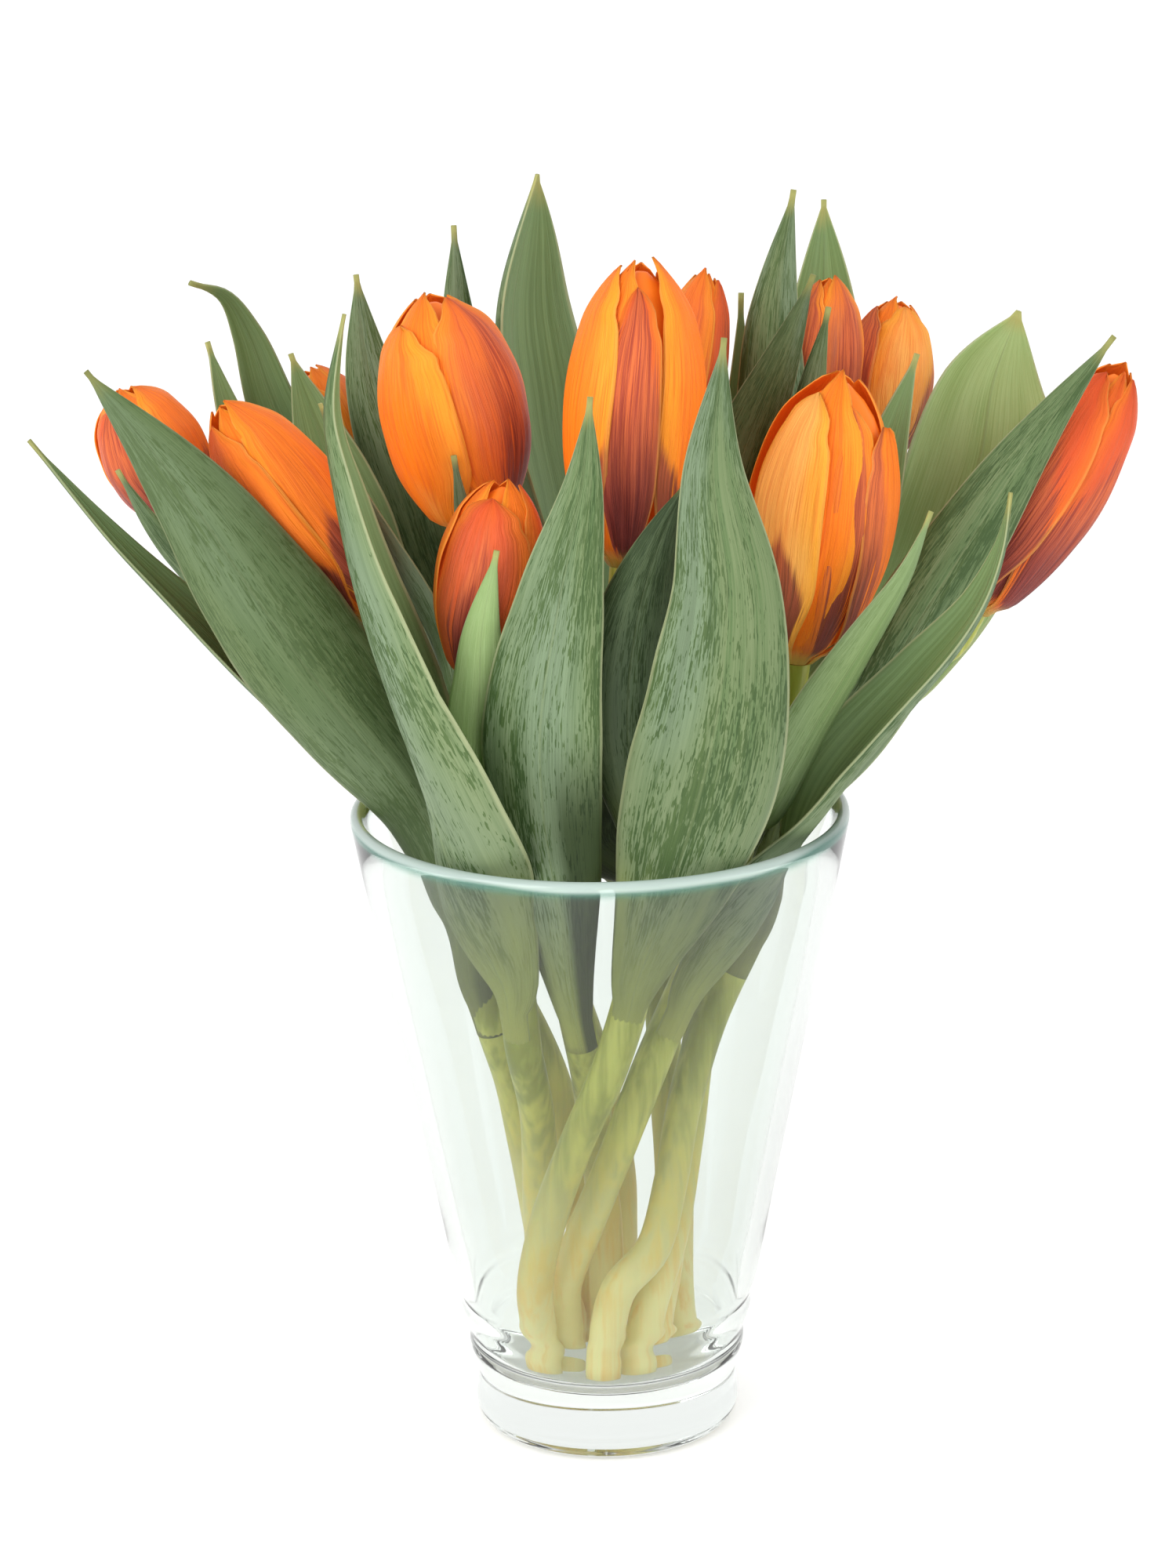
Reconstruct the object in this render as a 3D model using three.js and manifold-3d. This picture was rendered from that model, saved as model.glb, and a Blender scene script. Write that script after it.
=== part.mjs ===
// Eleven tulips with their leaves, standing in a clear glass vase.
// Millimetres, +Z up. The origin is the centre of the vase's foot, on the surface it stands on.
// The bouquet's front faces -Y. Each flower is a leafy stem and a closed bloom.

import * as THREE from 'three';
import { mergeVertices } from 'three/addons/utils/BufferGeometryUtils.js';
import Module from 'manifold-3d';

const wasm = await Module();
wasm.setup();

// ---- Driving dimensions ----------------------------------------------------------------------

const VASE_HEIGHT = 170;
const RIM_RADIUS = 65;
const WALL = 4.4;
const FLOOR_THICKNESS = 18;
const FOOT_FLAT_RADIUS = 31;
const HEEL_RADIUS = 35;
const RIPPLE_HEIGHTS = [14, 25, 35];
const RIPPLE_DEPTH = 0.7;
const VASE_SIDES = 34;
const FLOOR_FILLET = 4;

const GAP = 0.3;
const FOOT_LEVEL = FLOOR_THICKNESS + GAP;

const STEM_RADIUS = 4.6;
const NECK_RADIUS = 3.9;
const STEM_SIDES = 6;
const STEM_RINGS = 12;

const LEAF_THICKNESS = 1;
const LEAF_COLUMNS = 4;
const LEAF_RING_SPACING = 21;
const LEAF_TIP_HALF_WIDTH = 0.7;
const SHEATH_HALF_ANGLE = 1.05;
const SHEATH_RADIUS = STEM_RADIUS - 0.1;
const SHEATH_LENGTH = 16;

const BLOOM_BASE_RADIUS = 4.2;
const TEPAL_ROWS = 4;
const TEPAL_COLUMNS = 2;
const OUTER_TEPAL_HALF_ANGLE = 0.5;
const INNER_TEPAL_HALF_ANGLE = 0.42;
const BUD_SCALE = 0.9;
const TEPAL_DEPTH = 0.3;

// Radii of the tapered wall at a height.
const WALL_SLOPE = 0.19;
const outerRadius = (z) => RIM_RADIUS - Math.max(0, VASE_HEIGHT - z) * WALL_SLOPE;
const innerRadius = (z) => outerRadius(z) - WALL;

// ---- The flowers ------------------------------------------------------------------------------
// line: the stem's route, foot first, neck last. top: the tip of the bloom.
// radius: the bloom's widest radius. turn: how far the tepals are turned round the bloom, in degrees.

const FLOWERS = [
  {
    line: [[-10, 9, 0], [-15, 10, 35], [-21, 10, 74], [-24, 6, 95], [-28, -1, 114], [-34, -3, 139],
      [-42, -2, 164], [-51, -1, 202], [-57, 0, 223]],
    top: [-93, -9, 280], radius: 14, turn: 20,
  },
  {
    line: [[-16, 0, 0], [-17, -1, 54], [-17, -7, 92], [-20, -15, 119], [-22, -19, 144], [-27, -17, 171],
      [-30, -12, 194], [-31, -15, 213]],
    top: [-22, -17, 265], radius: 13.2, turn: 50,
  },
  {
    line: [[-16, -15, 0], [-18, -23, 45], [-15, -27, 65], [-7, -28, 91], [2, -29, 115], [9, -28, 142],
      [11, -24, 170], [9, -19, 206], [7, -13, 239]],
    top: [12, -13, 317], radius: 17.3, turn: 10,
  },
  {
    line: [[-10, -10, 0], [-11, -11, 40], [-6, -11, 57], [1, -11, 77], [10, -12, 102], [19, -12, 123],
      [30, -12, 147], [39, -10, 170], [50, -16, 209]],
    top: [62, -21, 286], radius: 18.8, turn: 35,
  },
  {
    line: [[-1, -23, 0], [3, -22, 44], [12, -20, 55], [17, -15, 72], [21, -9, 92], [28, -4, 114],
      [38, -1, 135], [49, 2, 159], [60, 5, 181], [78, 8, 200], [97, 12, 215]],
    top: [135, 10, 280], radius: 14.3, turn: 0,
  },
  {
    line: [[0, 0, 0], [0, 3, 52], [-2, 0, 80], [-4, -8, 107], [-7, -13, 127], [-10, -11, 147],
      [-17, -2, 176], [-24, 8, 207], [-30, 15, 242]],
    top: [-41, 15, 304], radius: 18.7, turn: 30,
  },
  {
    line: [[12, -5, 0], [16, 1, 39], [18, 7, 59], [17, 13, 88], [15, 15, 127], [15, 15, 162],
      [14, 13, 205], [16, 13, 247]],
    top: [29, 17, 306], radius: 10, turn: 5,
  },
  {
    line: [[8, -16, 0], [11, -13, 34], [17, -8, 52], [22, 1, 79], [26, 6, 106], [34, 11, 135],
      [40, 14, 166], [49, 18, 212], [56, 28, 253]],
    top: [61, 30, 301], radius: 10.5, turn: 40,
  },
  {
    line: [[20, 8, 0], [20, 15, 37], [21, 20, 65], [26, 24, 93], [36, 23, 126], [47, 22, 159],
      [61, 32, 208], [73, 43, 246]],
    top: [80, 49, 291], radius: 12.2, turn: 15,
  },
  {
    line: [[-3, 0, 0], [-6, 6, 41], [-9, 10, 67], [-15, 12, 93], [-25, 12, 116], [-37, 10, 138],
      [-52, 7, 168], [-83, 5, 211], [-104, 5, 244]],
    top: [-120, 3, 279], radius: 13.5, turn: 25,
  },
  {
    line: [[8, 17, 0], [5, 23, 29], [4, 30, 56], [-1, 34, 82], [-8, 37, 104], [-16, 40, 123],
      [-30, 43, 160], [-49, 51, 202], [-64, 53, 238]],
    top: [-75, 55, 274], radius: 12, turn: 55,
  },
];

// line: the leaf's keel above its sheath, tip last. flower: the flower it grows on, counted from 1.
// clasp: the height where it clasps the stem. face: where its outer side looks, in degrees round the
// vase, at the clasp, half way and at the tip (0 is the front, 90 the left, -90 the right).
// cup: half the arc of its cross-section half way up and at the tip. widest: where it is widest.
// taper: low for a long point, high for a blade that stays broad up to a short one.

const LEAVES = [
  {
    flower: 1, clasp: 114, width: 18, widest: 0.6, taper: 1.6, face: [25, 0, 0], cup: [0.45, 0.3],
    line: [[-35, -11, 148], [-44, -10, 171], [-64, -15, 202], [-82, -23, 232], [-101, -24, 263],
      [-124, -18, 291]],
  },
  {
    flower: 2, clasp: 120, width: 27, widest: 0.4, taper: 1.6, face: [30, 88, 95], cup: [1.15, 0.8],
    line: [[-35, -25, 161], [-43, -29, 189], [-51, -26, 213], [-58, -24, 237], [-63, -22, 264],
      [-65, -18, 283], [-60, -14, 306]],
  },
  {
    flower: 2, clasp: 162, width: 8, widest: 0.5, taper: 1.6, face: [0, 0, 0], cup: [0.6, 0.4],
    line: [[-30, -29, 193], [-29, -33, 215], [-28, -34, 231], [-24, -35, 251]],
  },
  {
    flower: 3, clasp: 122, width: 20, widest: 0.4, taper: 1.6, face: [0, 0, 0], cup: [0.6, 0.4],
    line: [[17, -38, 163], [24, -43, 189], [29, -49, 216], [31, -51, 243], [28, -46, 273], [31, -35, 302]],
  },
  {
    flower: 4, clasp: 114, width: 16, widest: 0.48, taper: 1.6, face: [-25, -96, -108], cup: [1.1, 0.8],
    line: [[44, -22, 155], [63, -28, 186], [80, -31, 208], [94, -33, 228], [100, -33, 244],
      [102, -31, 258]],
  },
  {
    flower: 4, clasp: 150, width: 8, widest: 0.5, taper: 1.6, face: [0, -30, -40], cup: [0.8, 0.5],
    line: [[40, -25, 172], [54, -32, 201], [67, -35, 224], [76, -36, 240], [82, -34, 255]],
  },
  {
    flower: 5, clasp: 126, width: 12.5, widest: 0.55, taper: 1.6, face: [-10, 0, 0], cup: [0.5, 0.4],
    line: [[48, 1, 166], [66, -3, 192], [80, -7, 216], [94, -8, 239], [105, -8, 257], [117, -7, 274],
      [130, -6, 291]],
  },
  {
    flower: 5, clasp: 174, width: 20, widest: 0.62, taper: 2.6, face: [180, 180, 180], cup: [0.45, 0.3],
    line: [[78, 26, 199], [91, 29, 225], [100, 33, 249], [104, 35, 272], [110, 33, 290]],
  },
  {
    flower: 6, clasp: 116, width: 15.5, widest: 0.5, taper: 1.6, face: [0, 8, 0], cup: [0.5, 0.4],
    line: [[-11, -26, 159], [-14, -33, 184], [-14, -40, 210], [-9, -42, 240], [-3, -40, 268],
      [-1, -34, 288]],
  },
  {
    flower: 3, clasp: 156, width: 13, widest: 0.5, taper: 1.6, face: [0, -10, -10], cup: [0.6, 0.5],
    line: [[7, -30, 205], [10, -34, 235], [16, -36, 255], [22, -36, 268]],
  },
  {
    flower: 7, clasp: 118, width: 28, widest: 0.68, taper: 2.4, face: [100, 108, 118], cup: [0.9, 0.7],
    line: [[-9, 33, 152], [-11, 44, 184], [-14, 50, 226], [-20, 52, 259], [-22, 52, 289], [-14, 50, 325]],
  },
  {
    flower: 7, clasp: 176, width: 6, widest: 0.55, taper: 1.6, face: [180, 180, 180], cup: [0.8, 0.5],
    line: [[25, 22, 186], [31, 25, 227], [37, 29, 264], [38, 30, 297]],
  },
  {
    flower: 7, clasp: 168, width: 9, widest: 0.62, taper: 1.6, face: [0, 0, 0], cup: [0.5, 0.4],
    line: [[21, 3, 195], [29, -2, 234], [38, -3, 263], [48, -5, 288], [55, -5, 307]],
  },
  {
    flower: 8, clasp: 174, width: 10, widest: 0.6, taper: 1.6, face: [0, 0, 0], cup: [0.7, 0.5],
    line: [[41, 17, 221], [45, 16, 262], [46, 19, 294], [51, 21, 325]],
  },
  {
    flower: 9, clasp: 128, width: 13, widest: 0.66, taper: 2.2, face: [180, 180, 180], cup: [0.5, 0.4],
    line: [[42, 35, 168], [52, 49, 203], [59, 59, 244], [61, 62, 281], [61, 60, 315]],
  },
  {
    flower: 8, clasp: 206, width: 6, widest: 0.5, taper: 1.6, face: [0, 0, 0], cup: [0.6, 0.4],
    line: [[51, 7, 252], [55, 4, 277], [59, 2, 298]],
  },
  {
    flower: 4, clasp: 184, width: 8, widest: 0.6, taper: 1.6, face: [180, 180, 180], cup: [0.8, 0.6],
    line: [[58, 5, 209], [67, 7, 233], [75, 7, 262], [82, 7, 284]],
  },
  {
    flower: 10, clasp: 112, width: 10.5, widest: 0.5, taper: 1.6, face: [60, 100, 105], cup: [0.9, 0.7],
    line: [[-48, 0, 156], [-60, -6, 178], [-82, -12, 201], [-101, -17, 224], [-120, -18, 246],
      [-140, -18, 272]],
  },
  {
    flower: 10, clasp: 184, width: 7, widest: 0.5, taper: 1.6, face: [40, 30, 30], cup: [0.8, 0.5],
    line: [[-86, -6, 212], [-100, -12, 231], [-110, -18, 246], [-119, -20, 263]],
  },
  {
    flower: 10, clasp: 124, width: 10, widest: 0.6, taper: 1.6, face: [150, 180, 180], cup: [0.9, 0.4],
    line: [[-43, 34, 174], [-58, 38, 208], [-74, 38, 242], [-84, 36, 270], [-89, 32, 288], [-94, 26, 299],
      [-102, 18, 304]],
  },
  {
    flower: 10, clasp: 196, width: 6, widest: 0.6, taper: 1.6, face: [150, 150, 150], cup: [0.7, 0.5],
    line: [[-86, 20, 247], [-94, 24, 267], [-99, 24, 287]],
  },
  {
    flower: 1, clasp: 176, width: 11, widest: 0.62, taper: 1.6, face: [180, 180, 180], cup: [0.6, 0.4],
    line: [[-55, 17, 220], [-67, 23, 250], [-74, 25, 270], [-78, 24, 283]],
  },
  {
    flower: 2, clasp: 178, width: 6, widest: 0.5, taper: 1.6, face: [90, 60, 60], cup: [0.6, 0.4],
    line: [[-41, 4, 217], [-54, 10, 240], [-64, 9, 261], [-69, 8, 276]],
  },
  {
    flower: 11, clasp: 158, width: 10, widest: 0.66, taper: 1.6, face: [-10, 0, 0], cup: [0.6, 0.4],
    line: [[-34, 37, 191], [-47, 38, 238], [-58, 38, 275], [-61, 38, 302]],
  },
  {
    flower: 11, clasp: 176, width: 8, widest: 0.6, taper: 1.6, face: [-60, -30, 0], cup: [0.7, 0.5],
    line: [[-25, 43, 215], [-30, 48, 248], [-35, 50, 283], [-36, 50, 312]],
  },
  {
    flower: 6, clasp: 186, width: 4.5, widest: 0.5, taper: 1.6, face: [0, 0, 0], cup: [0.7, 0.5],
    line: [[-27, -3, 219], [-32, -4, 244], [-35, -6, 267]],
  },
  {
    flower: 7, clasp: 128, width: 13, widest: 0.5, taper: 1.6, face: [0, 0, -10], cup: [0.6, 0.4],
    line: [[0, 2, 159], [3, -2, 185], [7, -5, 208], [12, -6, 229], [15, -6, 243]],
  },
];

// ---- Small geometry helpers ---------------------------------------------------------------------

const UP = new THREE.Vector3(0, 0, 1);
const vector = (point) => new THREE.Vector3(...point);
const mix = (a, b, t) => a + (b - a) * t;
const smooth = (t) => THREE.MathUtils.smoothstep(t, 0, 1);

function curveThrough(points) {
  return new THREE.CatmullRomCurve3(points.map((p) => p.clone()), false, 'centripetal');
}

// Closed body from rings of points: the skin between rings, and a cap on each end ring.
// The second half of a ring is split into triangles the other way, so both faces of a blade match.
function bodyFromRings(rings, capIndices) {
  const sides = rings[0].length;
  const positions = rings.flat().flatMap((p) => [p.x, p.y, p.z]);
  const index = [];
  for (let i = 0; i + 1 < rings.length; i += 1) {
    for (let j = 0; j < sides; j += 1) {
      const next = (j + 1) % sides;
      const [a, b] = [i * sides + j, i * sides + next];
      if (j < sides / 2) index.push(a, b, b + sides, a, b + sides, a + sides);
      else index.push(a, b, a + sides, b, b + sides, a + sides);
    }
  }
  const last = (rings.length - 1) * sides;
  capIndices.forEach(([a, b, c]) => {
    index.push(c, b, a);
    index.push(last + a, last + b, last + c);
  });
  const geometry = new THREE.BufferGeometry();
  geometry.setAttribute('position', new THREE.Float32BufferAttribute(positions, 3));
  geometry.setIndex(index);
  return geometry;
}

// Fan of triangles over a convex ring.
const fanCap = (sides) => Array.from({ length: sides - 2 }, (_, i) => [0, i + 1, i + 2]);

// Strip of triangles over a flat double row: outer points 0..columns, then inner points back again.
function stripCap(columns) {
  const count = 2 * (columns + 1);
  return Array.from({ length: columns }, (_, i) => [
    [i, i + 1, count - 2 - i],
    [i, count - 2 - i, count - 1 - i],
  ]).flat();
}

function toManifold(geometry) {
  const bare = new THREE.BufferGeometry();
  bare.setAttribute('position', geometry.getAttribute('position'));
  bare.setIndex(geometry.getIndex());
  const merged = mergeVertices(bare, 1e-4);
  return new wasm.Manifold(new wasm.Mesh({
    numProp: 3,
    vertProperties: Float32Array.from(merged.getAttribute('position').array),
    triVerts: Uint32Array.from(merged.getIndex().array),
  }));
}

// One body from solids that grow together, without loose scraps and sealed hollows.
function fuse(solids) {
  const bodies = wasm.Manifold.union(solids).decompose();
  const mesh = bodies.reduce((a, b) => (b.volume() > a.volume() ? b : a)).getMesh();
  const geometry = new THREE.BufferGeometry();
  geometry.setAttribute('position', new THREE.BufferAttribute(mesh.vertProperties, 3));
  geometry.setIndex(new THREE.BufferAttribute(mesh.triVerts, 1));
  return geometry;
}

// ---- Stems --------------------------------------------------------------------------------------
// A stem starts upright on the vase's floor and ends in line with its bloom.

function makeStem(flower) {
  const points = flower.line.map(vector);
  points[0].z = FOOT_LEVEL;
  const foot = points[0].clone().setZ(FOOT_LEVEL + 5);
  points.splice(1, 0, foot);
  const neck = points[points.length - 1];
  const axis = vector(flower.top).sub(neck).normalize();
  points.splice(points.length - 1, 0, neck.clone().addScaledVector(axis, -10));
  const curve = curveThrough(points);
  const length = curve.getLength();
  return { curve, length, axis, neck };
}

function stemRing(stem, t) {
  const centre = stem.curve.getPointAt(t);
  const tangent = t === 0 ? UP.clone() : stem.curve.getTangentAt(t);
  const radius = mix(STEM_RADIUS, NECK_RADIUS, smooth((t - 0.5) / 0.5));
  const across = new THREE.Vector3().crossVectors(tangent, new THREE.Vector3(0, -1, 0)).normalize();
  const away = new THREE.Vector3().crossVectors(tangent, across);
  return { centre, radius, across, away };
}

function stemSolid(stem, shiftAt) {
  const rings = Array.from({ length: STEM_RINGS + 1 }, (_, k) => {
    const t = k / STEM_RINGS;
    const ring = stemRing(stem, t);
    ring.centre.y += shiftAt(t);
    return ringPoints(ring, STEM_SIDES);
  });
  return toManifold(bodyFromRings(rings, fanCap(STEM_SIDES)));
}

function ringPoints(ring, sides) {
  return Array.from({ length: sides }, (_, j) => {
    const angle = (2 * Math.PI * j) / sides;
    return ring.centre.clone()
      .addScaledVector(ring.across, ring.radius * Math.cos(angle))
      .addScaledVector(ring.away, ring.radius * Math.sin(angle));
  });
}

// ---- Leaves -------------------------------------------------------------------------------------
// A leaf clasps its stem with a rolled sheath, widens into a cupped blade and ends in a point.

// Direction across the tangent that looks to a given side of the vase.
function outward(tangent, degrees) {
  const angle = THREE.MathUtils.degToRad(degrees);
  const plan = new THREE.Vector3(-Math.sin(angle), -Math.cos(angle), 0);
  return plan.addScaledVector(tangent, -plan.dot(tangent)).normalize();
}

function makeLeaf(leaf, stem) {
  const stemAt = (z) => {
    let [low, high] = [0, 1];
    for (let k = 0; k < 30; k += 1) {
      const middle = (low + high) / 2;
      if (stem.curve.getPointAt(middle).z < z) low = middle;
      else high = middle;
    }
    return low;
  };
  const start = stemAt(leaf.clasp);
  const sheathPoint = (distance) => {
    const t = start + distance / stem.length;
    const tangent = stem.curve.getTangentAt(t);
    const offset = SHEATH_RADIUS + 0.03 * distance;
    return stem.curve.getPointAt(t).addScaledVector(outward(tangent, leaf.face[0]), offset);
  };
  const points = [sheathPoint(0), sheathPoint(SHEATH_LENGTH / 2), sheathPoint(SHEATH_LENGTH)];
  const curve = curveThrough(points.concat(leaf.line.map(vector)));
  return { ...leaf, curve, length: curve.getLength(), start, stem };
}

// Half width, half arc and outer side of a leaf at a fraction of its length.
function leafSection(leaf, t) {
  const sheathEnd = SHEATH_LENGTH / leaf.length;
  const sheathHalfWidth = SHEATH_RADIUS * SHEATH_HALF_ANGLE;
  const low = Math.min(1, Math.max(0, t - sheathEnd * 0.6) / (leaf.widest - sheathEnd * 0.6));
  const rise = 1 - (1 - low) ** 1.8;
  const fall = Math.max(0, (t - leaf.widest) / (1 - leaf.widest));
  const spread = Math.max(0, 1 - fall ** leaf.taper) ** 1.1;
  const blade = t < leaf.widest ? mix(sheathHalfWidth, leaf.width, rise) : leaf.width * spread;
  const halfWidth = Math.max(LEAF_TIP_HALF_WIDTH, blade);
  const opening = smooth(Math.max(0, t - sheathEnd) / 0.3);
  const cupAbove = mix(leaf.cup[0], leaf.cup[1], smooth((t - 0.5) / 0.5));
  const halfArc = mix(SHEATH_HALF_ANGLE, cupAbove, opening);
  const face = t < 0.5
    ? mix(leaf.face[0], leaf.face[1], smooth(Math.max(0, t - sheathEnd) / (0.5 - sheathEnd)))
    : mix(leaf.face[1], leaf.face[2], smooth((t - 0.5) * 2));
  return { halfWidth, halfArc, face };
}

// Middle surface and side of a leaf, from one margin (-1) over the keel (0) to the other (1).
function leafPoint(leaf, t, across) {
  const { halfWidth, halfArc, face } = leafSection(leaf, t);
  const centre = leaf.curve.getPointAt(t);
  const tangent = leaf.curve.getTangentAt(t);
  const outer = outward(tangent, face);
  const side = new THREE.Vector3().crossVectors(tangent, outer);
  const radius = halfWidth / halfArc;
  const angle = across * halfArc;
  const point = centre
    .addScaledVector(side, radius * Math.sin(angle))
    .addScaledVector(outer, -radius * (1 - Math.cos(angle)));
  const normal = outer.multiplyScalar(Math.cos(angle)).addScaledVector(side, Math.sin(angle));
  return { point, normal };
}

function leafRings(leaf) {
  const steps = THREE.MathUtils.clamp(Math.round(leaf.length / LEAF_RING_SPACING), 5, 10);
  return Array.from({ length: steps + 1 }, (_, i) => i / steps);
}

function leafSolid(leaf, shiftAt) {
  const rings = leafRings(leaf).map((t) => {
    const row = [];
    for (let j = 0; j <= LEAF_COLUMNS; j += 1) row.push(leafPoint(leaf, t, (2 * j) / LEAF_COLUMNS - 1));
    const face = (sign) => row.map(({ point, normal }) => point.clone()
      .addScaledVector(normal, (sign * LEAF_THICKNESS) / 2)
      .add(new THREE.Vector3(0, shiftAt(t), 0)));
    return face(1).concat(face(-1).reverse());
  });
  return toManifold(bodyFromRings(rings, stripCap(LEAF_COLUMNS)));
}

// ---- Blooms -------------------------------------------------------------------------------------
// A closed bloom: three inner and three outer tepals wrapped round a bud, in one body.

const bloomSwell = (u) => Math.sin(Math.PI * (0.06 + 0.88 * Math.min(1, u))) ** 0.6;

function bloomFrame(flower, stem, shift) {
  const base = stem.neck.clone().add(new THREE.Vector3(0, shift, 0)).addScaledVector(stem.axis, GAP);
  const across = new THREE.Vector3().crossVectors(stem.axis, new THREE.Vector3(0, -1, 0)).normalize();
  const away = new THREE.Vector3().crossVectors(stem.axis, across);
  const length = vector(flower.top).distanceTo(stem.neck);
  const at = (angle, radius, height) => base.clone()
    .addScaledVector(across, radius * Math.cos(angle))
    .addScaledVector(away, radius * Math.sin(angle))
    .addScaledVector(stem.axis, height);
  return { at, length };
}

// The six-sided bud has a flat side behind each tepal, which is sunk into it.
function budSolid(flower, frame) {
  const sides = 6;
  const turn = THREE.MathUtils.degToRad(flower.turn + 30);
  const rings = [0, 0.15, 0.45, 0.85].map((u) => {
    const radius = u === 0 ? BLOOM_BASE_RADIUS : flower.radius * bloomSwell(u) * BUD_SCALE;
    const height = u * frame.length;
    return Array.from({ length: sides }, (_, j) => frame.at(turn + (Math.PI * j) / 3, radius, height));
  });
  return toManifold(bodyFromRings(rings, fanCap(sides)));
}

function tepalSolid(flower, frame, middle, inner) {
  const halfAngle = inner ? INNER_TEPAL_HALF_ANGLE : OUTER_TEPAL_HALF_ANGLE;
  const standing = inner ? 0.94 : 1;
  const reach = inner ? 1 : 0.965;
  const rings = [];
  for (let i = 0; i <= TEPAL_ROWS; i += 1) {
    const u = mix(0.05, reach, i / TEPAL_ROWS);
    const narrowing = Math.sqrt(Math.max(0.03, 1 - Math.abs((u - 0.45) / 0.56) ** 4));
    const row = (depth) => Array.from({ length: TEPAL_COLUMNS + 1 }, (_, j) => {
      const across = (2 * j) / TEPAL_COLUMNS - 1;
      const angle = middle + across * halfAngle * narrowing;
      const curl = 1 - 0.06 * across ** 2;
      const radius = Math.max(1.2, flower.radius * bloomSwell(u) * standing * curl - depth);
      return frame.at(angle, radius, u * frame.length);
    });
    rings.push(row(0).concat(row(flower.radius * TEPAL_DEPTH).reverse()));
  }
  return toManifold(bodyFromRings(rings, stripCap(TEPAL_COLUMNS)));
}

function bloomGeometry(flower, stem, shift) {
  const frame = bloomFrame(flower, stem, shift);
  const solids = [budSolid(flower, frame)];
  for (let k = 0; k < 6; k += 1) {
    const middle = THREE.MathUtils.degToRad(flower.turn + 60 * k);
    solids.push(tepalSolid(flower, frame, middle, k % 2 === 1));
  }
  return fuse(solids);
}

// ---- Layering -----------------------------------------------------------------------------------
// Where stems, leaves and blooms lie one behind the other, they are bent clear of each other in depth.
// Each stem or leaf is a strand of rings that may shift along Y. The front view stays as it is.

const CELL = 1.6;
const CLEARANCE = 1.5;
const SHEATH_REACH = 1.8;
const ROUNDS = 500;
const PUSH = 0.4;
const STIFFNESS = 0.15;

function stemStrandOf(flower, stem) {
  const samples = [];
  const steps = Math.ceil(stem.length / 2);
  for (let i = 0; i <= steps; i += 1) {
    const t = i / steps;
    ringPoints(stemRing(stem, t), 16).forEach((point) => samples.push({ t, point }));
  }
  const frame = bloomFrame(flower, stem, 0);
  for (let u = 0; u <= 1; u += 0.03) {
    for (let j = 0; j < 40; j += 1) {
      const radius = flower.radius * bloomSwell(u);
      samples.push({ t: 1, half: 1, point: frame.at((2 * Math.PI * j) / 40, radius, u * frame.length) });
    }
  }
  return { samples, rings: STEM_RINGS, shift: new Float64Array(STEM_RINGS + 1) };
}

function leafStrandOf(leaf) {
  const samples = [];
  const steps = Math.ceil(leaf.length / 2);
  const rings = leafRings(leaf).length - 1;
  const folded = Math.abs(Math.sin(THREE.MathUtils.degToRad(leaf.face[1]))) > 0.6;
  for (let i = 0; i <= steps; i += 1) {
    const t = i / steps;
    for (let j = 0; j <= 16; j += 1) {
      const across = j / 8 - 1;
      const { point, normal } = leafPoint(leaf, t, across);
      const half = folded && across > 0 ? 1 : 0;
      [0.5, -0.5].forEach((side) => samples.push({
        t, half, point: point.clone().addScaledVector(normal, LEAF_THICKNESS * side),
      }));
    }
  }
  return { samples, rings, shift: new Float64Array(rings + 1), leaf };
}

function strandShift(strand, t) {
  const place = Math.min(strand.rings - 1e-6, Math.max(0, t * strand.rings));
  const ring = Math.floor(place);
  return mix(strand.shift[ring], strand.shift[ring + 1], place - ring);
}

function pushStrand(strand, t, amount) {
  const place = Math.min(strand.rings - 1e-6, Math.max(0, t * strand.rings));
  const ring = Math.floor(place);
  const part = place - ring;
  const share = (1 - part) ** 2 + part ** 2;
  strand.shift[ring] += (amount * (1 - part)) / share;
  strand.shift[ring + 1] += (amount * part) / share;
}

// Nearest and farthest sample of every strand in every cell of the front view.
function frontView(strands) {
  const cells = new Map();
  strands.forEach((strand, number) => strand.samples.forEach(({ t, half = 0, point }) => {
    const id = number * 2 + half;
    const column = Math.round(point.x / CELL);
    const row = Math.round(point.z / CELL);
    for (let i = -1; i <= 1; i += 1) {
      for (let k = -1; k <= 1; k += 1) {
        const key = (row + k) * 1000 + column + i;
        if (!cells.has(key)) cells.set(key, new Map());
        const cell = cells.get(key);
        const held = cell.get(id);
        if (!held) cell.set(id, { near: point.y, nearT: t, far: point.y, farT: t });
        else {
          if (point.y < held.near) Object.assign(held, { near: point.y, nearT: t });
          if (point.y > held.far) Object.assign(held, { far: point.y, farT: t });
        }
      }
    }
  }));
  return cells;
}

function sheathFraction(strand) {
  return (SHEATH_LENGTH * SHEATH_REACH) / strand.leaf.length;
}

function separable(a, b, aHeld, bHeld) {
  if (a === b) return false;
  const above = (leaf, held) => Math.min(held.nearT, held.farT) > sheathFraction(leaf);
  if (a.leaf && (b === a.owner || b.owner === a.owner)) return above(a, aHeld);
  if (b.leaf && a === b.owner) return above(b, bHeld);
  return true;
}

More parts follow.
